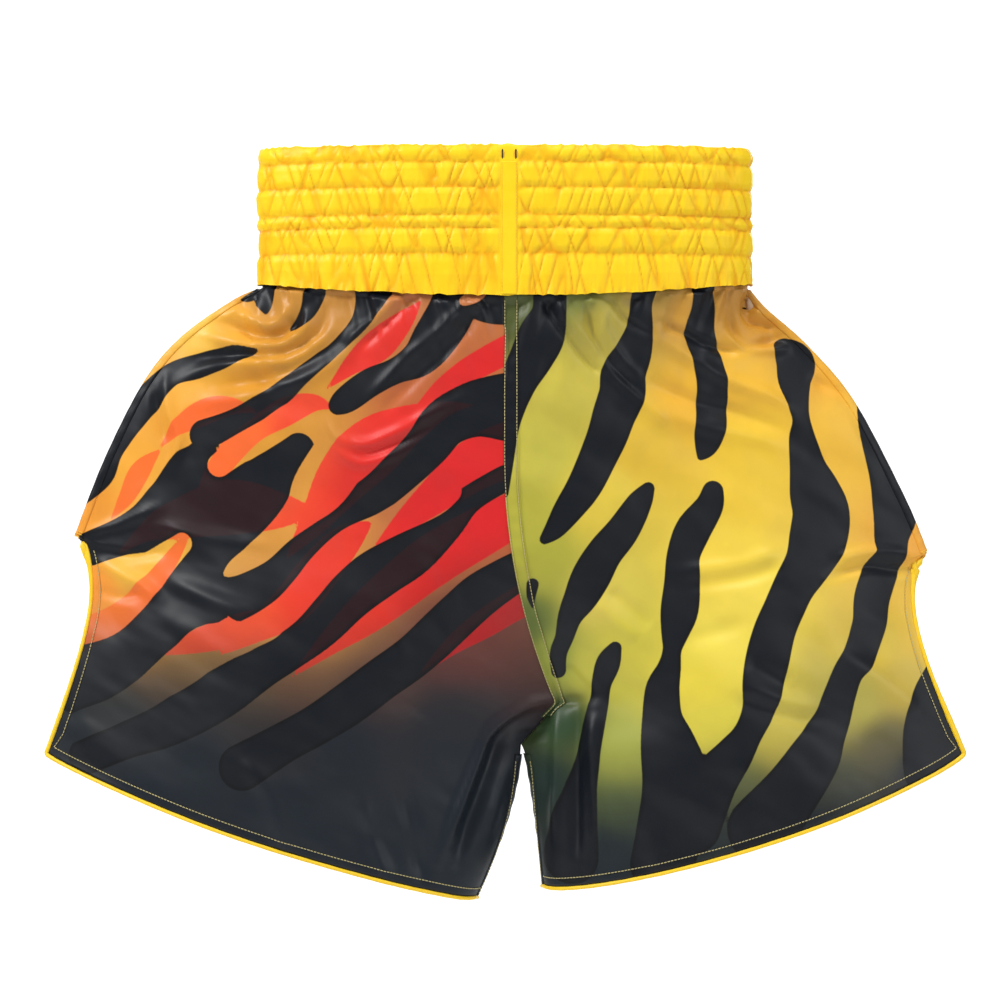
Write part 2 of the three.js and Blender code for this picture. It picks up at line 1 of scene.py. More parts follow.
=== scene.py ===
# %% [markdown]
# # Boxing shorts in satin
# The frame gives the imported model: a gathered waistband, four leg panels and their trims, in
# metres. Each piece of cloth is made again here as a fine sheet in the same place, with the
# folds, puckers, stitches and printed stripes that a plain solid can't hold. Shapes are worked
# out in millimetres, as a pattern cutter does, and turned into metres when a mesh is made.

# %% Load the frame
import math

import bmesh
import bpy
import numpy as np
from mathutils import Matrix, Vector


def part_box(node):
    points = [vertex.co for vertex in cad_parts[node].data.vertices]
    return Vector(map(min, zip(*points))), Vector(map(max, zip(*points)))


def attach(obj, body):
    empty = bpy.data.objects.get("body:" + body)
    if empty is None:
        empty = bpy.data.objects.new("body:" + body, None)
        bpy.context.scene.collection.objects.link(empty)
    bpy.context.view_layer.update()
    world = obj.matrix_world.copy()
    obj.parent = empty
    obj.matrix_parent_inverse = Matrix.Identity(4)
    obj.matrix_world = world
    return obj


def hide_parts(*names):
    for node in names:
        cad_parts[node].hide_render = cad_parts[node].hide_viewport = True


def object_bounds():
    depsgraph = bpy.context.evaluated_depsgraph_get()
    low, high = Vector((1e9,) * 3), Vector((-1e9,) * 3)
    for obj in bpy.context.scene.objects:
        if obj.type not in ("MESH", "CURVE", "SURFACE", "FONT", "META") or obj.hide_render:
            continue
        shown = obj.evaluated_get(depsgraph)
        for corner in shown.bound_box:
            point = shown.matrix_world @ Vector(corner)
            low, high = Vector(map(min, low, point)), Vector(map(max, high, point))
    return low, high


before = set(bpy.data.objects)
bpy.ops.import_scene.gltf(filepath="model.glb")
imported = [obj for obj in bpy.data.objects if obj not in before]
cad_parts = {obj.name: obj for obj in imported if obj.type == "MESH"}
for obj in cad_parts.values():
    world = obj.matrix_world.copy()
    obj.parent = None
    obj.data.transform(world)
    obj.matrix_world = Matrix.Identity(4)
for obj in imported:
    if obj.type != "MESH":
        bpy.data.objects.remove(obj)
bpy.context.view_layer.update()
MM = 0.001
print("nodes in the frame:", len(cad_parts))

# %% [markdown]
# The waistband's own box gives the waist's size. The other sizes are the cutter's: where the
# seam starts, where the legs part, and how far out and down the hem corners and vents lie.

# %% Sizes
GAP = 0.3
band_low, band_high = (np.array(corner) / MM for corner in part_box("waistband_casing"))
BAND_PROUD = 3.7
WAIST_HALF = band_high[0] - BAND_PROUD
WAIST_DEPTH = band_high[1] - BAND_PROUD
BAND_DIP = 9.0
BAND_HEIGHT = -band_low[2] - BAND_DIP
ROW_DROPS = np.array([0, 12, 29.5, 48.5, 57.5, 75, BAND_HEIGHT])
PANEL_HALF = WAIST_HALF + GAP
PANEL_DROP = 1.5
TUCK = 3.5
HEM_HALF = 318
CORNER_DROP = 421
VENT_TOP_HALF = 298
VENT_TOP_DROP = 276
VENT_NOTCH = 17
VENT_GAPE = 14
SEAM_TOP_X = 3.9
CROTCH_X = 11
CROTCH_DROP = 416
LENGTH = 517
TORSO_DEPTH = 42
LEG_DEPTH = 50
VENT_V = 0.58
CROTCH_V = 0.78
HIP_V = 0.3
THIGH_V = 0.42
SWING_START = 0.35
SEAM_END = 0.9
HEM_ROUND = 0.6
VENT_ROUND = 0.65
CLOTH = 0.5
print(f"waist {2 * WAIST_HALF:.0f} x {2 * WAIST_DEPTH:.0f} mm, band {BAND_HEIGHT:.0f} mm high")

# %% [markdown]
# Both legs are cut alike but hang a little differently: the right one lower and wider. The
# front seam swings to the wearer's left on its way down, and the back seam doesn't.

# %% How each half lies
RIGHT = {
    "name": "right", "sign": -1, "vent_shift": (2, -6), "length_shift": 4, "hem_end": -20,
    "hem_sag": 9, "inner_bend": 1.6, "fade": (325, 425),
    "shoulder": [(0.15, 0.05), (0.43, 0.2), (0.63, 0.38), (0.84, 0.69)],
}
LEFT = {
    "name": "left", "sign": 1, "vent_shift": (-3, 6), "length_shift": -4, "hem_end": 27,
    "hem_sag": 15, "inner_bend": 0.6, "fade": (405, 500),
    "shoulder": [(0.1, 0.08), (0.33, 0.22), (0.59, 0.43), (0.87, 0.79)],
}
FRONT = {"name": "front", "sign": -1, "drift": 34.6}
BACK = {"name": "back", "sign": 1, "drift": 0}
SIDES, FACES = (RIGHT, LEFT), (FRONT, BACK)
for half in SIDES:
    print(half["name"], "leg: hem sags", half["hem_sag"], "mm, print fades at", half["fade"], "mm")

# %% [markdown]
# A few small functions do all the shaping: a blend, an eased step, a smooth line through
# points, and the distance from many places to such a line.

# %% Helpers for shapes
def lerp(a, b, share):
    """A blend of two values, which is the first at a share of 0."""
    return a + (b - a) * share


def ease(value, low, high):
    """A smooth step from 0 at low to 1 at high."""
    share = np.clip((value - low) / (high - low), 0, 1)
    return share * share * (3 - 2 * share)


def smooth_line(points, shares):
    """Places at shares from 0 to 1 along a smooth line through the points."""
    points = np.asarray(points, float)
    last = len(points) - 1
    place = np.clip(np.atleast_1d(shares), 0, 1) * last
    i = np.minimum(place.astype(int), last - 1)
    w = (place - i)[:, None]
    p0, p1 = points[np.maximum(i - 1, 0)], points[i]
    p2, p3 = points[i + 1], points[np.minimum(i + 2, last)]
    v0, v1 = (p2 - p0) / 2, (p3 - p1) / 2
    return (2 * p1 - 2 * p2 + v0 + v1) * w**3 + (-3 * p1 + 3 * p2 - 2 * v0 - v1) * w**2 + v0 * w + p1


def stroke_distance(x, z, stroke):
    """Signed distance to a brush stroke of [x, z, radius] points; it is negative inside."""
    line = smooth_line(stroke, np.linspace(0, 1, 5 * len(stroke)))
    best = np.full(x.shape, 1e3)
    for (ax, az, ar), (bx, bz, br) in zip(line[:-1], line[1:]):
        dx, dz = bx - ax, bz - az
        t = np.clip(((x - ax) * dx + (z - az) * dz) / max(dx * dx + dz * dz, 1e-6), 0, 1)
        away = np.hypot(x - ax - t * dx, z - az - t * dz) - np.maximum(ar + (br - ar) * t, 0.3)
        best = np.minimum(best, away)
    return best


def value_noise(x, y, seed, wrap=0):
    """Smooth noise from 0 to 1 on a lattice of unit cells, repeating every wrap cells in x."""
    ix, iy = np.floor(x), np.floor(y)
    fx, fy = x - ix, y - iy
    fx, fy = fx * fx * (3 - 2 * fx), fy * fy * (3 - 2 * fy)

    def corner(i, j):
        i = np.mod(i, wrap) if wrap else i
        raw = np.sin(i * 127.1 + j * 311.7 + seed * 74.7) * 43758.5453
        return raw - np.floor(raw)

    upper = lerp(corner(ix, iy), corner(ix + 1, iy), fx)
    lower = lerp(corner(ix, iy + 1), corner(ix + 1, iy + 1), fx)
    return lerp(upper, lower, fy)


start_gap = stroke_distance(np.zeros(1), np.zeros(1), [(0, 0, 2), (9, 0, 2)])
print("a stroke 2 mm wide each way, measured at its own start:", start_gap)

# %% [markdown]
# A leg panel is a patch of cloth between four edges: the gathered waist, the hem, the centre
# seam with the inside leg, and the hip with its open vent. Every place of the panel is a blend
# of the four. p goes from the centre out and v goes from the waist down.

# %% The panels' four edges
def dip_at(x):
    return BAND_DIP * np.maximum(0, 1 - (x / WAIST_HALF) ** 2)


def top_edge(side, p):
    x = lerp(SEAM_TOP_X + side["sign"] * GAP / 2, side["sign"] * PANEL_HALF, p)
    return np.stack([x, -(BAND_HEIGHT + PANEL_DROP + dip_at(x))], -1)


def hem_edge(side, p):
    start = np.array([side["hem_end"], -(LENGTH + side["length_shift"])])
    corner = np.array([side["sign"] * HEM_HALF, -CORNER_DROP])
    point = lerp(start, corner, p[:, None])
    point[:, 1] -= side["hem_sag"] * np.maximum(0, np.sin(np.pi * p)) ** HEM_ROUND
    return point


def inner_edge(side, face, v):
    top = top_edge(side, np.zeros(1))[0]
    hem_end = hem_edge(side, np.zeros(1))[0]
    crotch = np.array([CROTCH_X + side["sign"] * GAP / 2, -CROTCH_DROP])
    share = np.clip(v / CROTCH_V, 0, 1)
    swing = np.clip((share - SWING_START) / (SEAM_END - SWING_START), 0, 1)
    drifted = top[0] + face["drift"] * swing**2
    back = np.clip((share - SEAM_END) / (1 - SEAM_END), 0, 1) if face["drift"] else share**2
    seam = np.stack([lerp(drifted, crotch[0], back), lerp(top[1], crotch[1], share)], -1)
    below = np.clip((v - CROTCH_V) / (1 - CROTCH_V), 0, 1)
    leg_x = lerp(crotch[0], hem_end[0], below ** side["inner_bend"])
    leg = np.stack([leg_x, lerp(crotch[1], hem_end[1], below)], -1)
    return np.where((v > CROTCH_V)[:, None], leg, seam)


def vent_top(side):
    across, down = side["vent_shift"]
    return np.array([side["sign"] * (VENT_TOP_HALF + across), -(VENT_TOP_DROP + down)])


def outer_edge(side, v):
    start, end = top_edge(side, np.ones(1))[0], vent_top(side)
    places = [start + (end - start) * np.array(shares) for shares in side["shoulder"]]
    hip = smooth_line([start, *places, end], v / VENT_V)
    share = np.clip((v - VENT_V) / (1 - VENT_V), 0, 1)
    vent = lerp(end, hem_edge(side, np.ones(1))[0], share[:, None])
    vent[:, 0] -= side["sign"] * VENT_NOTCH * np.sin(np.pi * share**VENT_ROUND)
    return np.where((v < VENT_V)[:, None], hip, vent)


def depth_at(x, p, v):
    oval = np.sqrt(np.maximum(0, 1 - (x / PANEL_HALF) ** 2)) * (WAIST_DEPTH + GAP)
    hip = lerp(oval, np.cos(np.pi * p / 2) * TORSO_DEPTH, ease(v, 0, HIP_V))
    lens = np.sin(np.pi * p)
    tube = np.where(p < 0.5, np.sqrt(np.maximum(0, 4 * p * (1 - p))), lens)
    leg = LEG_DEPTH * lerp(lens, tube, ease(v, CROTCH_V, 1))
    gape = VENT_GAPE * ease(v, VENT_V, 1) * p * p
    return GAP / 2 + lerp(hip, leg, ease(v, THIGH_V, CROTCH_V)) + gape


def panel_places(side, face, p, v):
    """Points of a panel's inner face, in millimetres."""
    across = lerp(inner_edge(side, face, v), outer_edge(side, v), p[:, None])
    down = lerp(top_edge(side, p), hem_edge(side, p), v[:, None])
    ends = np.array([0.0, 1.0])
    tops, hems = top_edge(side, ends), hem_edge(side, ends)
    corners = lerp(lerp(tops[0], tops[1], p[:, None]), lerp(hems[0], hems[1], p[:, None]), v[:, None])
    flat = across + down - corners
    y = face["sign"] * depth_at(flat[:, 0], p, v)
    return np.stack([flat[:, 0], y, flat[:, 1]], -1)


hem_corner = panel_places(LEFT, FRONT, np.ones(1), np.ones(1))[0]
print("front left hem corner, mm:", hem_corner.round(1))

# %% [markdown]
# The print is a field of brush strokes: dark stripes, light gaps cut back into the dark, and
# loose flame licks in a hotter colour. Each stroke is a few places with a radius, given in
# millimetres across and down from the waist's centre.

# %% Stripes of the right leg
RIGHT_DARK = [
    [(-172, -141, 1), (-191, -145, 7), (-214, -152, 9), (-233, -158, 8.5), (-249, -174, 10.5),
     (-265, -192, 11), (-275, -210, 8.5), (-280, -226, 7.5), (-288, -238, 5), (-294, -246, 2)],
    [(-166, -88, 9), (-168, -101, 8.5), (-166, -110, 4.5), (-165, -116, 0.7)],
    [(-170, -102, 6), (-178, -104, 3.5), (-184, -105, 1)],
    [(-129, -88, 8), (-131, -98, 7.5), (-134, -111, 6), (-139, -120, 4.8), (-148, -127, 1.2)],
    [(-90, -88, 14), (-90, -96, 14), (-94, -110, 9.5), (-101, -124, 6.5), (-115, -139, 5),
     (-128, -150, 6), (-142, -161, 7), (-160, -175, 8), (-186, -190, 8.5), (-208, -200, 11)],
    [(-143, -210, 11.5), (-158, -226, 17), (-171, -241, 24), (-192, -244, 24), (-212, -226, 20),
     (-231, -246, 19), (-248, -262, 17), (-270, -271, 13), (-290, -279, 12)],
    [(-180, -273, 30), (-206, -304, 27), (-226, -318, 22), (-247, -340, 20), (-270, -357, 22),
     (-296, -372, 22)],
    [(-205, -268, 26), (-200, -290, 26), (-175, -310, 18)],
    [(4, -181, 24), (-19, -182, 19.5), (-40, -191, 17), (-53, -207, 15.5), (-68, -222, 14.5),
     (-86, -238, 13.5), (-107, -252, 12.5), (-128, -266, 13), (-144, -281, 13), (-159, -299, 15),
     (-178, -312, 18)],
    [(4, -229, 9), (-2, -231, 9), (-25, -245, 9.5), (-42, -262, 13), (-64, -281, 16.5), (-86, -293, 19),
     (-109, -310, 19), (-128, -330, 17), (-148, -349, 13), (-168, -361, 14), (-192, -376, 17),
     (-214, -389, 17), (-236, -401, 15), (-259, -410, 13), (-290, -422, 13)],
    [(12, -292, 13), (0, -299, 14), (-19, -312, 15.5), (-42, -333, 15.5), (-64, -353, 15),
     (-86, -369, 15), (-109, -386, 15), (-131, -400, 14), (-153, -412, 14), (-180, -428, 16)],
    [(-24, -92, 18), (-31, -101, 16.5), (-38, -117, 16), (-47, -132, 15.5), (-58, -147, 12.5),
     (-75, -156, 9), (-92, -164, 10), (-108, -175, 9.5), (-115, -180, 6.5)],
    [(-24, -96, 14), (-14, -110, 12.5), (6, -112, 12.5)],
]
RIGHT_LIGHT = [
    [(-138, -183, 9), (-150, -189, 10), (-169, -202, 9.5), (-186, -212, 9), (-198, -221, 8.2)],
    [(-224, -275, 7), (-236, -284, 10), (-252, -298, 15), (-268, -311, 19), (-283, -321, 21),
     (-300, -323, 24)],
    [(-114, -216, 20), (-128, -235, 19), (-139, -250, 13), (-155, -266, 9), (-171, -281, 8.3),
     (-185, -291, 6), (-192, -296, 2.6)],
    [(-40, -238, 10), (-52, -246, 11.5), (-82, -262, 9.5), (-106, -274, 10.5), (-124, -290, 10.5),
     (-138, -307, 10), (-153, -323, 10), (-180, -340, 10.5), (-203, -345, 14), (-219, -357, 14),
     (-233, -367, 12.5), (-250, -379, 10), (-270, -391, 9), (-292, -400, 9.5), (-312, -409, 9)],
    [(-28, -108, 3.5), (-22, -105, 5), (-17, -101, 5)],
]
print("right leg:", len(RIGHT_DARK), "dark strokes and", len(RIGHT_LIGHT), "light ones")

# %% Stripes of the left leg
LEFT_DARK = [
    [(31, -90, 11.5), (31, -101, 11.5), (30, -117, 12), (25, -132, 16), (18, -147, 15), (10, -162, 13),
     (5, -179, 10), (2, -196, 7.5), (0, -218, 6), (-1, -240, 3.5)],
    [(98, -88, 9), (97, -95, 9), (94, -110, 7.5), (93, -126, 9), (89, -142, 12.5), (82, -158, 15.5),
     (81, -171, 16), (75, -187, 15), (70, -202, 14), (63, -218, 13), (54, -236, 12), (43, -252, 10),
     (34, -265, 7), (27, -272, 3.5)],
    [(137, -86, 8), (137, -112, 8.5), (135, -129, 10.5), (139, -144, 10.5), (143, -161, 10.5),
     (144, -179, 11), (142, -196, 10.8), (140, -207, 8), (136, -215, 2.5)],
    [(99, -237, 4.5), (92, -248, 9), (81, -266, 11.5), (68, -282, 12.5), (59, -298, 13.5),
     (52, -312, 11.5), (45, -325, 8.5), (41, -340, 6.5), (37, -351, 6), (37, -364, 5)],
    [(144, -239, 7.5), (141, -250, 10), (130, -266, 12.5), (123, -284, 11.5), (122, -303, 12.5),
     (120, -321, 13), (117, -336, 9.5), (115, -348, 6.5), (113, -360, 8), (108, -377, 12),
     (108, -396, 14), (113, -416, 19), (118, -440, 23), (114, -466, 22), (108, -495, 22)],
    [(195, -139, 7.5), (203, -149, 13.5), (202, -162, 11.5), (204, -179, 7.5), (206, -190, 6.3),
     (207, -204, 9.5), (211, -223, 13), (216, -240, 18), (220, -254, 20), (218, -270, 20.5),
     (211, -287, 17), (200, -304, 14.5), (192, -320, 14), (185, -336, 14.5), (180, -354, 15),
     (177, -371, 14.5), (174, -388, 11.5), (166, -405, 10), (156, -420, 13), (141, -440, 17),
     (128, -468, 20)],
    [(250, -176, 4), (258, -201, 10.5), (267, -227, 13), (273, -249, 16.5), (270, -270, 12.5),
     (269, -284, 11), (261, -298, 13), (255, -314, 13.5), (252, -332, 12.5), (245, -351, 12),
     (236, -364, 10.5), (231, -379, 11.5), (226, -396, 13), (219, -409, 15), (211, -423, 18),
     (196, -444, 20), (176, -470, 24)],
    [(298, -366, 6.5), (294, -385, 13), (296, -407, 21), (300, -430, 26)],
    [(19, -303, 4.3), (18, -311, 3.2), (19, -319, 0.8)],
    [(76, -347, 4.5), (71, -358, 8.3), (66, -373, 6.7), (64, -390, 7), (61, -407, 8), (58, -422, 9),
     (54, -442, 11), (50, -466, 15), (46, -492, 19)],
]
LEFT_LIGHT = []
print("left leg:", len(LEFT_DARK), "dark strokes")

# %% Flame licks, hotter than the ground they lie on
RIGHT_FLAME = [
    [(-122, -168, 0.6), (-106, -153, 6), (-88, -139, 11), (-72, -124, 8), (-58, -108, 0.6)],
    [(-152, -286, 0.6), (-134, -262, 9), (-114, -232, 18), (-92, -210, 21), (-68, -194, 14),
     (-40, -182, 5), (-22, -180, 0.6)],
    [(-62, -182, 0.6), (-44, -168, 6), (-22, -154, 9), (8, -138, 10)],
    [(-92, -280, 0.6), (-72, -262, 7), (-46, -240, 13), (-20, -220, 18), (8, -208, 19)],
    [(-196, -352, 0.6), (-170, -334, 9), (-148, -318, 14), (-130, -296, 15), (-110, -273, 11),
     (-92, -260, 0.6)],
    [(-146, -366, 0.6), (-122, -344, 8), (-92, -320, 15), (-52, -288, 18), (-15, -266, 17),
     (8, -254, 15)],
    [(-60, -366, 0.6), (-38, -346, 6), (-14, -330, 10), (12, -314, 11)],
    [(-240, -208, 0.6), (-226, -194, 6), (-208, -184, 9), (-190, -180, 6), (-172, -184, 0.6)],
    [(-214, -250, 0.6), (-204, -232, 7), (-190, -212, 9), (-172, -196, 8), (-152, -184, 10),
     (-132, -178, 6), (-118, -182, 0.6)],
    [(-316, -350, 8), (-296, -340, 11), (-268, -326, 10), (-246, -304, 8), (-230, -282, 5),
     (-218, -268, 0.6)],
    [(-236, -352, 0.6), (-216, -344, 7), (-196, -338, 10), (-176, -330, 8), (-156, -318, 0.6)],
    [(-276, -258, 0.6), (-264, -242, 6), (-254, -224, 7), (-240, -210, 0.6)],
    [(-132, -252, 0.6), (-156, -252, 12), (-190, -250, 19), (-226, -258, 14), (-252, -268, 6),
     (-272, -284, 0.6)],
]
LEFT_FLAME = []
print("flame licks:", len(RIGHT_FLAME))

# %% Colours of the ground, as places with a paint each
RIGHT_GROUND = [
    (-213, -126, "#F0BC48"), (-192, -128, "#E8A638"), (-240, -160, "#F2AE44"), (-227, -203, "#E8A038"),
    (-262, -222, "#F0A83A"), (-285, -250, "#EE9C38"), (-262, -290, "#F0B840"), (-284, -308, "#F59A3C"),
    (-129, -245, "#D8953E"), (-178, -172, "#D4922C"), (-143, -136, "#D09030"), (-160, -106, "#C88C3C"),
    (-112, -120, "#C68A3E"), (-52, -105, "#BC7444"), (-38, -154, "#BC683A"), (-52, -175, "#C0663A"),
    (-4, -231, "#B85A36"), (-60, -250, "#C07040"), (-143, -329, "#CC8E44"), (-171, -385, "#9C784C"),
    (-227, -372, "#AC8246"), (-250, -345, "#C89040"), (-269, -395, "#807046"), (-306, -408, "#4C4836"),
    (-143, -378, "#A07048"), (-87, -385, "#704E40"), (-108, -410, "#48403C"), (-31, -350, "#6C3C34"),
    (-213, -430, "#3A3934"), (-38, -399, "#3A2E2E"), (-150, -470, "#1E262E"), (-250, -452, "#262B30"),
    (-60, -500, "#1A222A"), (-10, -470, "#1A2228"),
]
LEFT_GROUND = [
    (7, -115, "#50592C"), (17, -105, "#555F32"), (49, -103, "#747A3C"), (66, -126, "#B4A446"),
    (49, -161, "#CABA4A"), (38, -178, "#C4B648"), (24, -212, "#C6BC4A"), (14, -259, "#B4AE40"),
    (24, -287, "#B0AC3E"), (66, -245, "#E4C846"), (94, -208, "#E4BC3C"), (66, -315, "#DECA54"),
    (17, -329, "#667532"), (35, -353, "#98A03E"), (59, -357, "#C6BE48"), (80, -343, "#D2C446"),
    (80, -420, "#A6AA4A"), (80, -462, "#707E44"), (68, -486, "#465236"), (108, -104, "#AA8840"),
    (122, -112, "#CE983C"), (129, -175, "#EEB638"), (164, -104, "#BE883C"), (178, -119, "#DA9A34"),
    (164, -161, "#F0BA3A"), (164, -203, "#F0C63A"), (171, -231, "#F2CA3C"), (150, -287, "#F1D048"),
    (164, -315, "#F0D650"), (150, -350, "#EFD954"), (136, -371, "#E6D046"), (143, -399, "#DACB4A"),
    (234, -200, "#F2BE42"), (230, -150, "#F0B03A"), (276, -308, "#F0C446"), (286, -273, "#EEA83C"),
    (262, -343, "#E0C246"), (284, -338, "#E4BE46"), (192, -406, "#CEBC4E"), (241, -385, "#BCB052"),
    (276, -371, "#CCB24E"), (157, -441, "#84884A"), (129, -469, "#54603C"), (227, -441, "#5E5E3C"),
    (262, -415, "#706840"), (200, -474, "#262C2C"), (60, -512, "#24302C"), (285, -432, "#2E312E"),
    (30, -440, "#26382E"), (40, -400, "#30482E"),
]
FLAME_PAINT = [(-290, -300, "#F5782E"), (-230, -250, "#F4702E"), (-190, -320, "#F0502E"),
               (-185, -200, "#F5682E"), (-140, -200, "#F0442E"), (-100, -150, "#E42C28"),
               (-90, -230, "#E02426"), (-130, -300, "#E63226"), (-40, -250, "#DE1E26"),
               (-20, -330, "#B81E20"), (0, -150, "#DC2226")]
PRINTS = {
    "right": (RIGHT_DARK, RIGHT_LIGHT, RIGHT_FLAME, RIGHT_GROUND),
    "left": (LEFT_DARK, LEFT_LIGHT, LEFT_FLAME, LEFT_GROUND),
}
print("strokes:", {leg: [len(part) for part in parts] for leg, parts in PRINTS.items()})

# %% [markdown]
# Real sublimation printing lays every colour in one pass. Here the print is read at each place of
# the cloth as two distances and two colours, which a material can mix with sharp edges. An image
# would blur at the edges of the stripes, and these don't.

# %% Reading the print at any place
HEM_PAINT = "#182029"
HEM_SHADE = 0.94
FLAME_REACH = 40


def paint(code):
    """A colour code as linear red, green and blue."""
    parts = [int(code[i:i + 2], 16) / 255 for i in (1, 3, 5)]
    return np.array([c / 12.92 if c <= 0.04045 else ((c + 0.055) / 1.055) ** 2.4 for c in parts])


def blend_paints(x, z, paints, reach=24):
    """The paints, mixed by how near each one's place is."""
    total = np.zeros((len(x), 3))
    weight = np.full(len(x), 1e-9)
    for px, pz, code in paints:
        near = 1 / (((x - px) ** 2 + (z - pz) ** 2) / reach**2 + 0.15) ** 2
        total += near[:, None] * paint(code)
        weight += near
    return total / weight[:, None]


def nearest(x, z, strokes):
    """The least of the distances to a list of strokes."""
    return np.min([np.full(len(x), 99.0), *[stroke_distance(x, z, s) for s in strokes]], axis=0)


def printed(side, x, z):
    """The print's four layers: stripe and flame distances, and ground and flame colours."""
    dark, light, flame, ground = PRINTS[side["name"]]
    stripe = np.maximum(nearest(x, z, dark), -nearest(x, z, light))
    fade = HEM_SHADE * ease(-z + 0.12 * np.abs(x), *side["fade"])[:, None]
    hem_paint = paint(HEM_PAINT)
    return {
        "stripe": stripe,
        "lick": nearest(x, z, flame),
        "ground": lerp(blend_paints(x, z, ground), hem_paint, fade),
        "lick_paint": lerp(blend_paints(x, z, FLAME_PAINT, FLAME_REACH), hem_paint, fade * 0.85),
    }


sample = printed(RIGHT, np.array([-100.0]), np.array([-250.0]))
print("print at one place:", {layer: values.round(2).tolist() for layer, values in sample.items()})

# %% [markdown]
# Folds are strokes too: each one lifts or sinks the cloth along a line, highest at its middle
# and fading to its ends. The gathers under the waistband come from noise that is stretched
# down the cloth, and finer noise gives the satin its restless surface.

# %% Folds of the front, as [points, width, height]
FRONT_FOLDS = [
    ([(-196, -108), (-178, -119), (-164, -124), (-152, -118), (-146, -104)], 4, 2.6),
    ([(-203, -118), (-184, -126), (-163, -132), (-146, -125), (-138, -108)], 3.5, -2.2),
    ([(-212, -128), (-188, -136), (-160, -139), (-140, -130), (-130, -110)], 4.5, 2.8),
    ([(-214, -146), (-182, -144), (-152, -142), (-130, -130), (-122, -112)], 3.5, -2),
    ([(-228, -162), (-205, -153), (-178, -150), (-150, -150), (-128, -138), (-114, -120)], 5, 2.4),
    ([(-205, -166), (-165, -160), (-140, -150), (-118, -134)], 5, -2),
    ([(-220, -180), (-170, -172), (-135, -160), (-108, -142), (-98, -118)], 6, 2.2),
    ([(-237, -158), (-233, -185), (-226, -202), (-233, -224)], 4, 1.8),
    ([(-246, -168), (-241, -188), (-236, -206)], 3.5, -1.6),
    ([(-122, -190), (-113, -203), (-98, -207), (-78, -200), (-52, -186), (-28, -174)], 4, 2.2),
    ([(-120, -206), (-104, -219), (-85, -217), (-58, -205)], 3.5, 1.6),
    ([(-114, -197), (-100, -212), (-82, -209), (-54, -196)], 3, -1.4),
    ([(-18, -100), (-45, -128), (-68, -148), (-92, -174)], 4, 2),
    ([(-10, -106), (-36, -138), (-60, -160), (-86, -186)], 4, -1.8),
    ([(-60, -98), (-76, -118), (-102, -142)], 3.5, -1.8),
    ([(-70, -100), (-84, -116), (-108, -134)], 3.5, 1.6),
    ([(-298, -268), (-272, -262), (-240, -250)], 4, 1.8),
    ([(-292, -280), (-262, -284), (-235, -278)], 4, -1.6),
    ([(-286, -288), (-262, -299), (-240, -313)], 5, 2),
    ([(-288, -306), (-268, -312), (-250, -307)], 4.5, -1.6),
    ([(-246, -262), (-200, -271), (-162, -276)], 4, 1.2),
    ([(-238, -300), (-200, -314), (-168, -324)], 6, 1.5),
    ([(-230, -330), (-190, -352), (-150, -372)], 8, 1.4),
    ([(-110, -300), (-80, -330), (-70, -370)], 8, 1.4),
    ([(-60, -270), (-40, -300), (-36, -340)], 7, 1.4),
    ([(-180, -420), (-160, -450), (-150, -490)], 7, 1.6),
    ([(-98, -450), (-90, -480), (-80, -508)], 5, 1.8),
    ([(-72, -440), (-63, -475), (-56, -510)], 5, -1.6),
    ([(32, -384), (8, -390), (-11, -405), (-18, -420), (-34, -462), (-46, -496)], 3.6, 3.4),
    ([(2, -402), (-7, -420), (-23, -462), (-34, -496)], 4.4, -3.2),
    ([(12, -408), (2, -440), (-12, -480)], 5, 1.6),
    ([(23, -101), (34, -120), (44, -134), (59, -151), (68, -158)], 2.6, -2.6),
    ([(31, -99), (43, -118), (54, -131), (69, -147), (82, -157)], 3.6, 2),
    ([(50, -97), (56, -113), (61, -132), (70, -147), (86, -164), (102, -180)], 2.6, -2.3),
    ([(58, -97), (65, -114), (70, -131), (80, -146), (96, -162)], 3.4, 1.7),
    ([(65, -97), (74, -108), (84, -120), (102, -131)], 2.5, -2.4),
    ([(67, -151), (85, -167), (101, -181), (112, -196)], 4.4, 2),
    ([(108, -122), (123, -129), (146, -139), (166, -142)], 3, -2.6),
    ([(104, -132), (132, -149), (155, -162), (184, -173), (200, -183)], 4.6, 2.6),
    ([(97, -161), (132, -177), (165, -185), (197, -198)], 5, -2.2),
    ([(100, -180), (130, -192), (168, -200), (205, -214)], 6, 1.6),
    ([(150, -127), (165, -136), (186, -140), (202, -137)], 4, 2),
    ([(154, -110), (162, -132), (175, -137), (197, -129)], 3.4, -2.4),
    ([(169, -96), (169, -116), (184, -122), (202, -118)], 3, -2.6),
    ([(171, -100), (178, -105), (178, -112), (171, -117)], 3, 3),
    ([(215, -160), (232, -168), (248, -176)], 4, -2),
    ([(120, -305), (165, -299), (192, -290)], 5, -1.7),
    ([(118, -294), (160, -289), (190, -280)], 5, 1.4),
    ([(72, -306), (101, -334)], 6, -1.6),
    ([(62, -312), (92, -342)], 6, 1.4),
    ([(123, -342), (166, -330)], 6, -1.4),
    ([(223, -300), (251, -291), (279, -294), (296, -288)], 4, -2.4),
    ([(230, -286), (256, -281), (284, -283)], 4.5, 2),
    ([(165, -356), (197, -372)], 6, -1.6),
    ([(158, -382), (184, -391), (215, -399)], 5, -1.7),
    ([(160, -372), (188, -381), (217, -389)], 5, 1.5),
    ([(80, -440), (100, -478), (108, -505)], 8, 1.6),
    ([(230, -350), (262, -372), (286, -392)], 6, 1.4),
    ([(38, -386), (37, -430), (34, -482)], 4, 2.4),
    ([(51, -386), (49, -430), (50, -500)], 4, -2.6),
    ([(62, -390), (62, -430), (66, -490)], 4.5, 2),
    ([(42, -360), (50, -370), (60, -380)], 4, -1.6),
    ([(40, -385), (50, -384), (62, -380)], 4, -1.3),
]
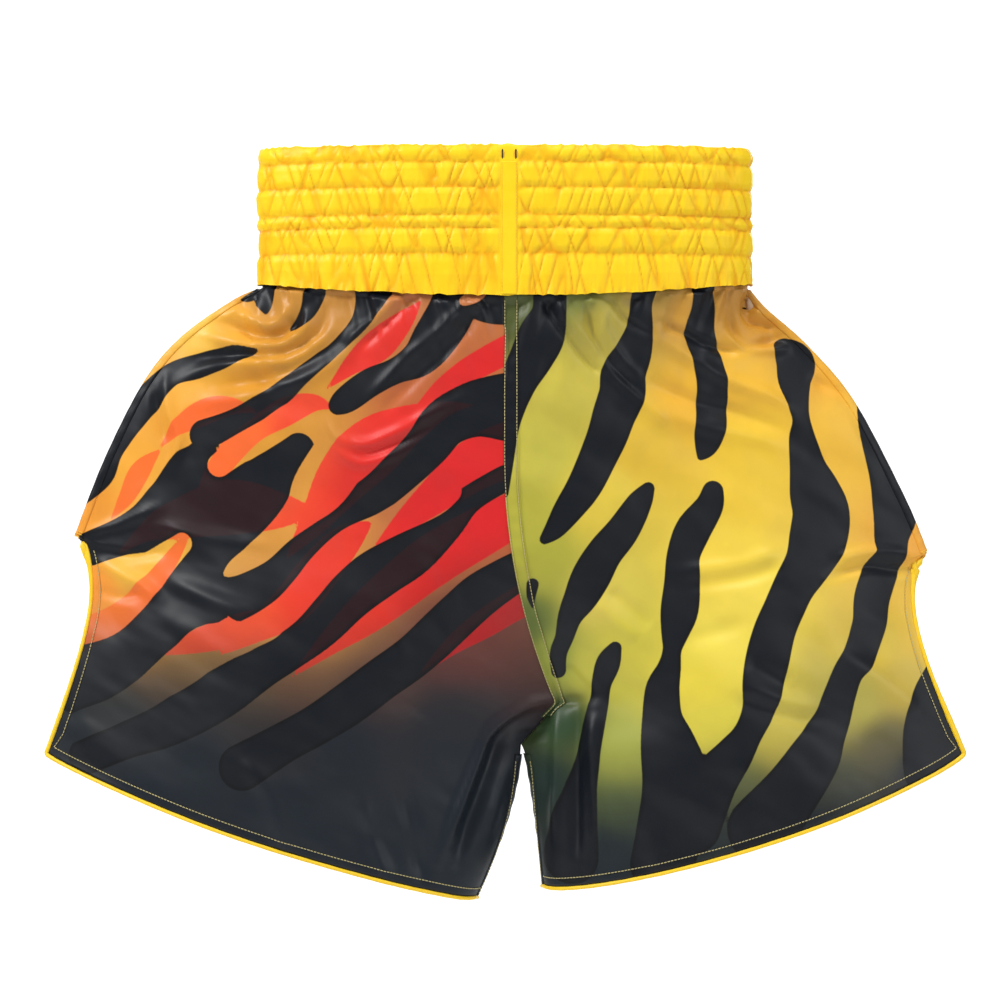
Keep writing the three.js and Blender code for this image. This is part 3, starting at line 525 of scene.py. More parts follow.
# Folds of the back: long draped lines from the waist and the seat, and a few across.
BACK_FOLDS = [
    ([(-150, -104), (-170, -130), (-205, -150), (-240, -158)], 5, 2.4),
    ([(-120, -104), (-140, -140), (-180, -172), (-226, -190)], 6, -2),
    ([(-90, -104), (-104, -150), (-150, -196)], 6, 2.2),
    ([(-50, -104), (-60, -160), (-96, -220)], 6, -1.8),
    ([(-20, -110), (-24, -180), (-50, -250)], 7, 1.8),
    ([(150, -104), (168, -128), (200, -146), (236, -160)], 5, 2.4),
    ([(118, -104), (142, -142), (182, -170), (224, -188)], 6, -2),
    ([(86, -104), (108, -152), (152, -198)], 6, 2.2),
    ([(48, -104), (64, -162), (98, -224)], 6, -1.8),
    ([(24, -110), (30, -180), (52, -252)], 7, 1.8),
    ([(-30, -400), (-80, -370), (-150, -350)], 7, 2.2),
    ([(-26, -412), (-80, -396), (-150, -384)], 7, -1.8),
    ([(44, -400), (92, -372), (158, -352)], 7, 2.2),
    ([(40, -412), (92, -398), (158, -386)], 7, -1.8),
    ([(-292, -282), (-250, -276), (-205, -262)], 5, 2),
    ([(292, -286), (250, -280), (205, -266)], 5, 2),
    ([(-200, -300), (-170, -380), (-160, -470)], 9, 2.2),
    ([(-100, -300), (-90, -400), (-84, -490)], 9, 2),
    ([(200, -300), (180, -380), (172, -460)], 9, 2.2),
    ([(110, -300), (104, -400), (100, -490)], 9, 2),
]
print("folds:", len(FRONT_FOLDS), "in front and", len(BACK_FOLDS), "behind")


# %% How far the cloth stands off its smooth shape
FOLD_LIFT, FOLD_END = 1.45, 0.25
# Tucks below the waistband, as height, spacing, length, reach down the cloth and seed.
TUCKS = [(9.5, 11, 60, 38, 3), (5.6, 4.6, 30, 17, 5)]
TUCK_LEAN = 0.28
# Sizes of the cloth's unrest, as height, length along the slope and width across it.
UNREST = [(6.5, 46, 80), (3.2, 19, 44), (0.55, 7, 16)]


def fold_height(x, z, folds):
    """The height of all the folds at each place."""
    height = np.zeros(len(x))
    for points, width, tall in folds:
        line = smooth_line(points, np.linspace(0, 1, 6 * len(points)))
        best, where = np.full(len(x), 1e9), np.zeros(len(x))
        for i, ((ax, az), (bx, bz)) in enumerate(zip(line[:-1], line[1:])):
            dx, dz = bx - ax, bz - az
            t = np.clip(((x - ax) * dx + (z - az) * dz) / (dx * dx + dz * dz), 0, 1)
            away = (x - ax - t * dx) ** 2 + (z - az - t * dz) ** 2
            closer = away < best
            best, where = np.where(closer, away, best), np.where(closer, i + t, where)
        along = where / (len(line) - 1)
        taper = np.clip(np.minimum(along, 1 - along) * 4, 0, 1)
        rise = FOLD_END + (1 - FOLD_END) * ease(taper, 0, 1)
        height += FOLD_LIFT * tall * np.exp(-best / width**2) * rise
    return height


def gathers(x, z):
    """Small tucks that hang from the waistband and die out down the cloth."""
    drop = -z - BAND_HEIGHT - dip_at(x)
    lean = x + TUCK_LEAN * drop * np.sign(x)
    lift = np.zeros(len(x))
    for tall, spacing, length, reach, seed in TUCKS:
        tuck = value_noise(lean / spacing, drop / length, seed) - 0.5
        lift += tall * tuck * np.exp(-np.maximum(drop, 0) / reach)
    return lift


def drape(x, z, seed):
    """The soft unrest of hanging satin, in three sizes."""
    slope = x * 0.5 + z * 0.86
    across = x * 0.86 - z * 0.5
    lift = np.zeros(len(x))
    for step, (tall, length, width) in enumerate(UNREST):
        lift += tall * (value_noise(slope / length, across / width, seed + step) - 0.5)
    return lift


fold_sample = fold_height(np.array([-184.0]), np.array([-122.0]), FRONT_FOLDS)
print("a fold's height at one place, mm:", fold_sample.round(2))

# %% [markdown]
# A panel is a bmesh grid: the operator makes it, and each vertex then moves to its place on the
# cloth. The same grid is kept as an array, so that seams, stitches and piping can be laid on it.

# %% Laying out a panel's grid
ACROSS, DOWN = 150, 200
EVENING = 220
LEAST_LIFT = 0.5
UNREST_SEEDS = {"front": 11, "back": 37}
rows_v = np.concatenate([[-1.0], np.linspace(0, 1, DOWN)])


def columns_at(v):
    """Shares across a row: bunched at the hip near the waist, and at both edges by the hem."""
    u = np.linspace(0, 1, ACROSS + 1)
    return lerp(np.sin(np.pi * u / 2), (1 - np.cos(np.pi * u)) / 2, max(v, 0) ** 2)


def unit(vectors):
    """The vectors, made 1 long."""
    return vectors / np.maximum(np.linalg.norm(vectors, axis=-1, keepdims=True), 1e-9)


def outward(places, face):
    """Directions out of a grid of places, towards its own side of the garment."""
    normal = unit(np.cross(np.gradient(places, axis=1), np.gradient(places, axis=0)))
    return np.where(normal[..., 1:2] * face["sign"] < 0, -normal, normal)


def evened(places, p, v):
    """Places with sharp turns down the panel taken out, because hanging cloth has none."""
    soft = places[..., :2].copy()
    for _ in range(EVENING):
        soft[1:-1] = (soft[:-2] + 2 * soft[1:-1] + soft[2:]) / 4
    free = ease(p, 0.01, 0.14) * ease(1 - p, 0.01, 0.12) * ease(v, 0.04, 0.14)
    places[..., :2] += (soft - places[..., :2]) * free[..., None]
    return places


def panel_grid(side, face):
    """Every place of a panel, with its folds, its directions out and its smooth shape."""
    places = []
    for v in rows_v:
        p = columns_at(v)
        row = panel_places(side, face, p, np.full(len(p), max(v, 0)))
        if v < 0:
            row[:, 2] += PANEL_DROP + TUCK
        places.append(row)
    p = np.array([columns_at(v) for v in rows_v])
    v = np.maximum(rows_v, 0)[:, None]
    places = evened(np.array(places), p, v)
    normal = outward(places, face)
    normal[:2, :, 2] = 0
    seam_rows = rows_v <= CROTCH_V
    normal[seam_rows, 0] = (0, face["sign"], 0)
    normal = unit(normal)
    flat = places.reshape(-1, 3)
    x, z = flat[:, 0], flat[:, 2]
    folds = FRONT_FOLDS if face is FRONT else BACK_FOLDS
    # The cloth is held at the waistband, at the side seams, at the vents and along the inseams.
    lift = fold_height(x, z, folds) + gathers(x, z) + drape(x, z, UNREST_SEEDS[face["name"]])
    lift = lift.reshape(places.shape[:2])
    held = ease(v, -0.002, 0.016)
    outer = np.where(v < VENT_V, ease(1 - p, 0, 0.05), 0.4 + 0.6 * ease(1 - p, 0, 0.08))
    inner = np.where(v > CROTCH_V - 0.03, ease(p, 0, 0.06), 1)
    lift = lift * held * outer * inner + LEAST_LIFT
    return {"side": side, "face": face, "cloth": places + normal * lift[..., None],
            "normal": normal, "plain": places}


grids = {(face["name"], side["name"]): panel_grid(side, face) for face in FACES for side in SIDES}
print("panel grid:", {key: value["cloth"].shape for key, value in grids.items()})


# %% [markdown]
# A sheet could be written as lists of vertices and faces, but a grid operator makes them in one
# step. Its vertices are numbered by the place they go to, so that the print's values can be
# written to the right ones later, even after a ring's two ends have been joined.

# %% Making a sheet from a grid of places
def object_from(bm, name):
    """An object that holds a bmesh."""
    mesh = bpy.data.meshes.new(name)
    bm.to_mesh(mesh)
    bm.free()
    piece = bpy.data.objects.new(name, mesh)
    bpy.context.collection.objects.link(piece)
    return piece


def sheet_mesh(name, places, closed_round=False):
    """A mesh on a bmesh grid, moved to the places, which are rows of points in millimetres."""
    rows, columns = places.shape[:2]
    bm = bmesh.new()
    layer = bm.verts.layers.int.new("place")
    bmesh.ops.create_grid(bm, x_segments=columns - 1, y_segments=rows - 1, size=1)
    order = sorted(bm.verts, key=lambda vert: (round(-vert.co.y, 6), round(vert.co.x, 6)))
    for index, (vert, place) in enumerate(zip(order, places.reshape(-1, 3))):
        vert.co = Vector(place) * MM
        vert[layer] = index
    if closed_round:
        bmesh.ops.remove_doubles(bm, verts=bm.verts, dist=1e-7)
    piece = object_from(bm, name)
    piece.data.polygons.foreach_set("use_smooth", [True] * len(piece.data.polygons))
    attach(piece, "root")
    return piece


def face_towards(piece, direction):
    """Turns a sheet over if it faces away from the direction."""
    normals = np.empty(len(piece.data.polygons) * 3)
    piece.data.polygons.foreach_get("normal", normals)
    if normals.reshape(-1, 3).mean(0) @ np.array(direction, float) < 0:
        piece.data.flip_normals()


def spread(piece, name, values):
    """Writes a value or a colour for each place of a sheet onto its mesh."""
    order = np.empty(len(piece.data.vertices), np.int32)
    piece.data.attributes["place"].data.foreach_get("value", order)
    values = np.asarray(values, float)[order]
    if values.ndim == 1:
        piece.data.attributes.new(name, "FLOAT", "POINT").data.foreach_set("value", values)
    else:
        colours = np.concatenate([values, np.ones((len(values), 1))], 1).ravel()
        piece.data.attributes.new(name, "FLOAT_COLOR", "POINT").data.foreach_set("color", colours)


def thicken(piece, thick, inner_slot=0):
    """Gives a sheet its wall, inwards from its face."""
    solid = piece.modifiers.new("thickness", "SOLIDIFY")
    solid.thickness = thick * MM
    solid.offset = -1.0
    solid.material_offset = inner_slot
    solid.use_quality_normals = True


print("cloth is", CLOTH, "mm thick in a panel of", ACROSS, "by", DOWN, "steps")

# %% [markdown]
# A finish is a small node tree. Arithmetic on its wires is written as plain Python, and each
# operator adds the Math node it stands for. Colours are mixed by Mix nodes.

# %% Writing shader maths
class Wire:
    """A node's output that takes part in arithmetic."""

    def __init__(self, finish, socket):
        self.finish, self.socket = finish, socket

    def math(self, operation, *others):
        inputs = dict(enumerate((self, *others)))
        return self.finish.node("Math", {"operation": operation}, inputs)

    def __add__(self, other):
        return self.math("ADD", other)

    def __sub__(self, other):
        return self.math("SUBTRACT", other)

    def __rsub__(self, other):
        return self.finish.node("Math", {"operation": "SUBTRACT"}, {0: other, 1: self})

    def __mul__(self, other):
        return self.math("MULTIPLY", other)

    def __truediv__(self, other):
        return self.math("DIVIDE", other)

    __radd__, __rmul__ = __add__, __mul__

    def clamped(self):
        return self.finish.node("Clamp", {}, {"Value": self})


class Finish:
    """A material whose nodes are added by name."""

    def __init__(self, name):
        self.material = bpy.data.materials.new(name)
        self.material.use_nodes = True
        self.tree = self.material.node_tree
        self.tree.nodes.clear()

    def node(self, kind, settings, inputs, output=0):
        made = self.tree.nodes.new("ShaderNode" + kind)
        for key, value in settings.items():
            setattr(made, key, value)
        for key, value in inputs.items():
            if isinstance(value, Wire):
                self.tree.links.new(value.socket, made.inputs[key])
            else:
                made.inputs[key].default_value = value
        return Wire(self, made.outputs[output]) if made.outputs else None

    def value(self, name):
        return self.node("Attribute", {"attribute_name": name}, {}, "Fac")

    def colour(self, name):
        return self.node("Attribute", {"attribute_name": name}, {}, "Color")

    def mix(self, share, first, second):
        """Mixes two colours; a plain colour is red, green, blue."""
        whole = [c if isinstance(c, Wire) else (*c, 1) for c in (first, second)]
        return self.node("Mix", {"data_type": "RGBA"}, {0: share, 6: whole[0], 7: whole[1]}, 2)

    def noise(self, scale, detail=2.0, stretch=(1, 1, 1)):
        """Noise on the piece's own coordinates, from 0 to 1."""
        place = self.node("TexCoord", {}, {}, "Object")
        place = self.node("VectorMath", {"operation": "MULTIPLY"}, {0: place, 1: stretch})
        return self.node("TexNoise", {}, {"Vector": place, "Scale": scale, "Detail": detail}, "Fac")

    def bump(self, height, distance):
        return self.node("Bump", {}, {"Height": height, "Distance": distance, "Strength": 1.0})

    def finished(self, **sockets):
        """The material, with a value, a colour or a wire on each socket that is named."""
        named = {key.replace("_", " ").title().replace("Ior", "IOR"): value for key, value in sockets.items()}
        named = {key: (*value, 1) if isinstance(value, (tuple, np.ndarray)) else value
                 for key, value in named.items()}
        shader = self.node("BsdfPrincipled", {}, named)
        self.node("OutputMaterial", {}, {"Surface": shader})
        return self.material


print("socket names come from words:", "specular_ior_level".replace("_", " ").title())

# %% [markdown]
# Satin shines because its threads float over several others, so its gloss is broad and soft.
# The bump here is the weave: ribs a little under half a millimetre apart, too fine to see
# from afar but enough to soften the highlights. The reverse is duller and paler, because the
# print is on the face only.

# %% Satin finishes
NAVY, INK, MAROON = (tuple(paint(code)) for code in ("#0C1119", "#06080C", "#280C12"))
RIB_SCALE, SLUB_SCALE, RIB_DEPTH = 2600, 160, 0.00003


def weave(finish):
    """The satin's ribs, and the thicker threads among them."""
    ribs = finish.noise(RIB_SCALE, 1.0, (1, 1, 0.25))
    slubs = finish.noise(SLUB_SCALE, 3.0, (1, 1, 0.3))
    return finish.bump(ribs + slubs * 1.5, RIB_DEPTH)


def printed_satin(name, reverse=False):
    """The legs' satin: ground, flame licks and dark stripes with inky middles."""
    satin = Finish(name)
    edge = (0.5 - satin.value("stripe") / 0.7).clamped()
    core = (0.5 - (satin.value("stripe") + 2.2) / 2.4).clamped()
    flame = (0.5 - satin.value("lick") / 0.8).clamped()
    ground = satin.mix(flame * 0.96, satin.colour("ground"), satin.colour("lick_paint"))
    navy = satin.mix(flame * 0.85, NAVY, MAROON)
    dark = satin.mix(core, INK, navy)
    colour = satin.mix(edge, ground, dark)
    shade = satin.noise(38, 4.0)
    colour = satin.mix((shade - 0.42).clamped() * 0.25, colour, tuple(paint("#2A2A2E")))
    if reverse:
        colour = satin.mix(0.55, colour, tuple(paint("#C9C2B6")))
        return satin.finished(base_color=colour, roughness=0.7, normal=weave(satin))
    rough = shade * 0.16 + 0.33 + edge * 0.04
    return satin.finished(base_color=colour, roughness=rough, normal=weave(satin), specular_ior_level=0.3)


def band_satin(name):
    """The waistband's satin, with painted shade: a deeper orange down in its creases and along its stitch
    lines.
    """
    satin = Finish(name)
    shade = satin.noise(90, 3.0)
    bright = satin.mix(shade, tuple(paint("#FFD010")), tuple(paint("#FFDC26")))
    # Painted shade: the attribute below mixes the yellow towards orange where the waistband is creased or
    # puckered.
    colour = satin.mix(satin.value("crease_shade").clamped(), bright, tuple(paint("#F09A0A")))
    return satin.finished(base_color=colour, roughness=shade * 0.12 + 0.4, normal=weave(satin),
                          specular_ior_level=0.25)


def plain_finish(name, low, high, rough, scale=220, depth=0.00006, stretch=(1, 1, 1)):
    """A small trim's finish: two near colours mixed by a fine grain, with the grain as bump."""
    trim = Finish(name)
    grain = trim.noise(scale, 3.0, stretch)
    colour = trim.mix(grain, tuple(paint(low)), tuple(paint(high)))
    return trim.finished(base_color=colour, roughness=grain * 0.15 + rough, normal=trim.bump(grain, depth))


leg_satin = printed_satin("printed_satin")
leg_reverse = printed_satin("printed_satin_reverse", reverse=True)
waist_satin = band_satin("waist_satin")
piping_satin = plain_finish("piping_satin", "#FFC414", "#FFE02C", 0.36, 900)
thread_beige = plain_finish("thread_beige", "#9C8F5C", "#D8CC94", 0.55, 1500, 0.00005, (1, 1, 4))
thread_yellow = plain_finish("thread_yellow", "#E8A81C", "#FFD84A", 0.5, 1500, 0.00005, (1, 1, 4))
slot_shadow = plain_finish("slot_shadow", "#17130A", "#2E2510", 0.8, 700)
elastic_weave = plain_finish("elastic_weave", "#D8D4C8", "#F2EFE6", 0.75, 1800, 0.0001, (1, 1, 0.2))
print("finishes:", [m.name for m in bpy.data.materials])

# %% [markdown]
# The four panels come first. Each takes its print from its smooth shape, before the folds
# lift it, so a stripe runs over a fold as printed cloth does.

# %% Leg panels
def dress(piece, side, plain_places):
    """Gives a sheet the print of its leg, read at its smooth places."""
    flat = plain_places.reshape(-1, 3)
    for layer, values in printed(side, flat[:, 0], flat[:, 2]).items():
        spread(piece, layer, values)
    piece.data.materials.append(leg_satin)
    piece.data.materials.append(leg_reverse)


def area_of(piece):
    """A sheet's area on one side, in square metres."""
    return sum(polygon.area for polygon in piece.data.polygons)


for key, grid in grids.items():
    name = f"{key[0]}_{key[1]}_leg"
    panel = sheet_mesh(name, grid["cloth"])
    face_towards(panel, (0, grid["face"]["sign"], 0))
    dress(panel, grid["side"], grid["plain"])
    thicken(panel, CLOTH, inner_slot=1)
    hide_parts(f"{key[0]}_{key[1]}_panel")
    print(name, f"{area_of(panel):.4f} square metres")

# %% [markdown]
# The waistband is one strip of satin, gathered over the elastics and stitched down in rows.
# Between two stitch lines it puffs out, and its spare width stands up in sharp creases that
# lean both ways. The section runs up the outer ply, over the rim and down the inner ply.

# %% The waistband's section and creases
AROUND, UP = 880, 84
CREASES = 104
CREASE_LEAN = 0.9
PUFF, CREASE_DEPTH, UNEVEN, GRAIN, PUCKER = 2.5, 2.1, 1.3, 0.35, 1.5
girth = math.pi * (3 * (WAIST_HALF + WAIST_DEPTH) - math.sqrt(
    (3 * WAIST_HALF + WAIST_DEPTH) * (WAIST_HALF + 3 * WAIST_DEPTH)))


def oval_turns(count):
    """Angles that step evenly round the waist's oval."""
    fine = np.linspace(0, 2 * math.pi, 4001)
    points = np.stack([WAIST_HALF * np.cos(fine), WAIST_DEPTH * np.sin(fine)], -1)
    run = np.concatenate([[0], np.cumsum(np.linalg.norm(np.diff(points, axis=0), axis=1))])
    return np.interp(np.linspace(0, run[-1], count), run, fine)


def ridged(x, y, seed, wrap):
    """Noise folded over, so that it peaks along thin lines."""
    return 1 - np.abs(2 * value_noise(x, y, seed, wrap) - 1)


def band_relief(run, drop):
    """How far the outer ply puffs at a place, and how much painted shade it gets in a crease or by a stitch
    line.
    """
    row = np.clip(np.searchsorted(ROW_DROPS, drop, side="right") - 1, 0, len(ROW_DROPS) - 2)
    top, bottom = ROW_DROPS[row], ROW_DROPS[row + 1]
    share = (drop - top) / (bottom - top)
    edge = np.minimum(drop - top, bottom - drop)
    open_end = (row == len(ROW_DROPS) - 2) & (share > 0.5)
    puff = np.where(open_end, 1, 0.3 + 0.7 * np.clip(edge / 4.5, 0, 1) ** 0.6)
    seed = 20 + 3 * row
    pitch = girth / CREASES
    lean = (share - 0.5) * CREASE_LEAN
    left = ridged(run / pitch + lean, share * 0.4 + row * 7, seed, CREASES)
    right = ridged(run / pitch - lean, share * 0.4 + row * 7, seed + 1, CREASES)
    slow = value_noise(run / pitch / 4, share + row * 5, seed + 2, CREASES // 4)
    crease = np.maximum(left**7, 0.85 * right**7)
    crease *= 0.45 + 0.55 * value_noise(run / pitch / 2, share * 1.2 + row * 3, 83, CREASES // 2)
    fine = ridged(run / pitch * 3, drop / 9, 71, CREASES * 3)
    tuck = ridged(run / pitch * 2, row * 3.0, 77, CREASES * 2)
    pucker = np.exp(-edge / 2.2) * (tuck - 0.4)
    relief = puff * (PUFF - CREASE_DEPTH * crease + UNEVEN * slow + GRAIN * fine) + PUCKER * pucker
    # Painted shade: creases and the puckers along each stitch line get a deeper orange, and the open lower
    # edge gets only a little.
    stitch_line_shade = np.exp(-edge / 1.3) * (0.25 + 0.5 * tuck**3)
    crease_shade = np.clip(0.8 * crease + np.where(open_end, 0.1, stitch_line_shade), 0, 0.9)
    return relief, crease_shade


print(f"the waist is {girth:.0f} mm round, with a crease about every {girth / CREASES:.0f} mm")

# %% [markdown]
# The casing is joined at the centre, under a flat strip, and it is also flat round the
# buttonholes. So the creases die out there and the cloth keeps one level.

# %% Laying out the waistband
RIM_DROP = 0.9
CALM_OFFSET = 3.6
CALM_Y = -(WAIST_DEPTH + CALM_OFFSET)
CALM_X, CALM_REACH = 2.8, 7.0


def band_places():
    """The band's places, from its lower edge over the rim to the inner ply, with their creases."""
    drops = np.linspace(BAND_HEIGHT, RIM_DROP, UP)
    turns = oval_turns(AROUND)[::-1]
    run = np.linspace(0, girth, AROUND)
    out = unit(np.stack([np.cos(turns) / WAIST_HALF, np.sin(turns) / WAIST_DEPTH, 0 * turns], -1))
    core = np.stack([WAIST_HALF * np.cos(turns), WAIST_DEPTH * np.sin(turns), 0 * turns], -1)
    calm = np.exp(-((core[:, 0] - CALM_X) / CALM_REACH) ** 8) * (core[:, 1] < 0)
    rows, crease_shades = [], []

    def add(offset, drop, crease_shade):
        place = core + out * np.broadcast_to(offset, run.shape)[:, None]
        low = np.clip((drop - ROW_DROPS[-2]) / (ROW_DROPS[-1] - ROW_DROPS[-2]), 0, 1)
        place[:, 2] = -drop - low * dip_at(place[:, 0])
        rows.append(place)
        crease_shades.append(np.broadcast_to(crease_shade, run.shape))

    ruffle = (ridged(run / girth * 130, 0 * run, 91, 130) - 0.5) * 1.5
    hem_wave = (ridged(run / girth * 96, 0 * run, 95, 96) - 0.5) * 1.1
    for drop in drops:
        relief, crease_shade = band_relief(run, np.full(AROUND, drop))
        near_rim = np.exp(-drop / 3)
        near_hem = np.exp(-(BAND_HEIGHT - drop) / 3)
        shaped = drop - near_rim * ruffle + near_hem * hem_wave
        offset = GAP + 1.0 + relief * (1 - 0.55 * near_rim)
        level = CALM_OFFSET * (1 - 0.3 * near_rim)
        add(lerp(offset, level, calm), shaped, crease_shade * (1 - calm))
    # The last value given to add is painted shade: a little on the rim, more on the inner ply.
    for share in np.linspace(0.25, 1, 4):
        angle = share * math.pi / 2
        add(0.6 + 1.6 * math.cos(angle), RIM_DROP - RIM_DROP * math.sin(angle) - ruffle, 0.1)
    inner_drops = np.concatenate([[0.2, 0.9, 2.5], np.linspace(8, BAND_HEIGHT, 8)])
    for drop in inner_drops:
        add(-0.8 - 0.2 * ridged(run / girth * 90, np.full(AROUND, drop / 12), 97, 90), drop, 0.25)
    return np.array(rows), np.concatenate(crease_shades)


# %% Making the waistband
band_grid, band_crease_shade = band_places()
waistband = sheet_mesh("waistband", band_grid, closed_round=True)
spread(waistband, "crease_shade", band_crease_shade)
waistband.data.materials.append(waist_satin)
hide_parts("waistband_casing")
print("waistband:", band_grid.shape, f"{area_of(waistband):.4f} square metres")

# %% [markdown]
# Trims are laid on the panels' own grids. A line starts at an edge and runs a set distance
# into the cloth, so a felled seam, a hem or a row of stitches follows every fold.

# %% Lines on the cloth
def run_along(points):
    """How far along a line each of its points is."""
    return np.concatenate([[0], np.cumsum(np.linalg.norm(np.diff(points, axis=0), axis=1))])


def place_on(points, run, distance):
    """The place that is a distance along a line."""
    return np.array([np.interp(distance, run, points[:, axis]) for axis in range(3)])


def in_from_edge(grid, rows, distance, outer=True, lift=0.0):
    """Points a distance in from the outer or inner edge, one for each row of the grid."""
    points = []
    for row in rows:
        cloth = grid["cloth"][row] + grid["normal"][row] * lift
        line = cloth[::-1] if outer else cloth
        points.append(place_on(line, run_along(line), distance))
    return np.array(points)


def up_from_hem(grid, columns, distance, lift=0.0):
    """Points a distance up from the hem, one for each column of the grid."""
    points = []
    for column in columns:
        line = (grid["cloth"][:, column] + grid["normal"][:, column] * lift)[::-1]
        points.append(place_on(line, run_along(line), distance))
    return np.array(points)


def row_at(v):
    """The first grid row that is at least a share v of the way down."""
    return int(np.searchsorted(rows_v, v))


VENT_ROW, CROTCH_ROW, LAST_ROW = row_at(VENT_V), row_at(CROTCH_V), len(rows_v) - 1
print("vent from row", VENT_ROW, "crotch at row", CROTCH_ROW, "hem at row", LAST_ROW)

# %% [markdown]
# A felled seam is a narrow strip that stands a little proud where two panels are folded into
# each other. It carries the left leg's print at the centre, because that side laps over.

# %% Felled seams
SEAM_HALF = 4.7
SEAM_RISE = 0.8
SEAM_PLY = 0.5
EDGE_ROUND = 1.2
RIPPLE = 0.22
CENTRE_ROWS_END = SEAM_END * CROTCH_V + 0.03


def seam_ribbon(name, pair, rows, outer):
    """A strip over the join of two panels, along some rows of their outer or inner edges."""
    spans = np.linspace(SEAM_HALF, 0.4, 6)
    rise = SEAM_RISE * np.clip((SEAM_HALF - spans) / 1.2 + 0.15, 0, 1)
    near = [in_from_edge(pair[0], rows, d, outer, h) for d, h in zip(spans, rise)]
    far = [in_from_edge(pair[1], rows, d, outer, h) for d, h in zip(spans, rise)]
    middle = []
    if pair[0]["side"] is pair[1]["side"]:
        brow = (in_from_edge(pair[0], rows, 0, outer) + in_from_edge(pair[1], rows, 0, outer)) / 2
        middle = [brow + unit(brow - (near[0] + far[0]) / 2) * EDGE_ROUND]
    places = np.stack(near + middle + far[::-1], axis=1)
    bow = np.sin(np.linspace(0, math.pi, places.shape[1]))
    ripple = RIPPLE * np.sin(np.arange(len(rows)) * 1.1)[:, None] * bow[None]
    places += pair[0]["normal"][list(rows), -1 if outer else 0][:, None] * ripple[..., None]
    strip = sheet_mesh(name, places)
    face_towards(strip, pair[0]["normal"][rows[0], -1 if outer else 0])
    dress(strip, pair[1]["side"], places)
    thicken(strip, SEAM_PLY)
    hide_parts(f"{name}_strip")
    return strip


seams = []
for face in FACES:
    pair = [grids[face["name"], side["name"]] for side in SIDES]
    seams.append(seam_ribbon(f"{face['name']}_centre_seam", pair, range(row_at(CENTRE_ROWS_END)), False))
for side in SIDES:
    pair = [grids[face["name"], side["name"]] for face in FACES]
    hip_rows = range(row_at(0.02), VENT_ROW + 1)
    leg_rows = range(CROTCH_ROW + 2, LAST_ROW + 1)
    seams.append(seam_ribbon(f"{side['name']}_side_seam", pair, hip_rows, True))
    seams.append(seam_ribbon(f"{side['name']}_inseam", pair, leg_rows, False))
print("seams:", [piece.name for piece in seams])

# %% [markdown]
# The hem and the vent are turned in once and stitched. The turned allowance is seen only from
# inside, as a strip of the reverse that runs round the corner.

# %% Turned hems
HEM_TURN = 6.7
HEM_PLY = 0.3
INSIDE = -0.9


def hem_strip(key):
    """The turned-in allowance of a panel, down the vent and along the hem."""
    grid = grids[key]
    spans = np.linspace(0.4, HEM_TURN, 4)
    rows, columns = range(VENT_ROW + 8, LAST_ROW - 6), range(ACROSS - 6, 4, -1)
    vent = np.stack([in_from_edge(grid, rows, d, True, INSIDE) for d in spans], 1)
    hem = np.stack([up_from_hem(grid, columns, d, INSIDE) for d in spans], 1)
    places = np.concatenate([vent, hem])
    strip = sheet_mesh(f"{key[0]}_{key[1]}_hem_turning", places)
    face_towards(strip, (0, -grid["face"]["sign"], 0))
    dress(strip, grid["side"], places)
    strip.data.materials[0] = leg_reverse
    thicken(strip, HEM_PLY)
    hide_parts(f"{key[0]}_{key[1]}_hem_facing")
    return strip


hems = {key: hem_strip(key) for key in grids}
print("hems:", [piece.name for piece in hems.values()])

# %% [markdown]
# Piping is a cord in a bias strip, sewn into the cut edge. Here it is one tube for each leg,
# down the front vent, along the front hem, round the inside leg and back up behind. It is
# fatter where the strip is eased round the vent's top and the hem's corner.

# %% Piping
PIPING = 1.35


def edge_line(grid):
    """The panel's cut edge, from the vent's top to the inside leg, pushed out by the piping."""
    vent_rows, hem_columns = range(VENT_ROW + 1, LAST_ROW + 1, 2), range(ACROSS - 1, 1, -2)
    edge = np.concatenate([in_from_edge(grid, vent_rows, 0), up_from_hem(grid, hem_columns, 0)])
    run = unit(np.gradient(edge, axis=0))
    rows = [*vent_rows, *[LAST_ROW] * len(hem_columns)]
    columns = [*[ACROSS] * len(vent_rows), *hem_columns]
    normal = grid["normal"][rows, columns]
    out = unit(np.cross(run, normal))
    centre = grid["cloth"][LAST_ROW - 40, ACROSS // 2]
    out = np.where(((edge - centre) * out).sum(-1, keepdims=True) < 0, -out, out)
    return edge + out * (PIPING * 0.8)


def piping_tube(name, line, radii):
    """A round tube along a line, whose section turns as little as it can."""
    run = unit(np.gradient(line, axis=0))
    across = [unit(np.cross(run[0], (0, 1, 0)))]
    for step in run[1:]:
        across.append(unit(across[-1] - step * (across[-1] @ step)))
    across = np.array(across)
    turns = np.linspace(2 * math.pi, 0, 13)[None, :, None]
    circle = across[:, None] * np.cos(turns) + np.cross(run, across)[:, None] * np.sin(turns)
    piece = sheet_mesh(name, line[:, None] + circle * (PIPING * radii)[:, None, None], closed_round=True)
    piece.data.materials.append(piping_satin)
    return piece


def bulge(places, centre, reach, tall):
    """An extra radius near one place."""
    return tall * np.exp(-((places - np.array(centre)) ** 2).sum(-1) / reach**2)


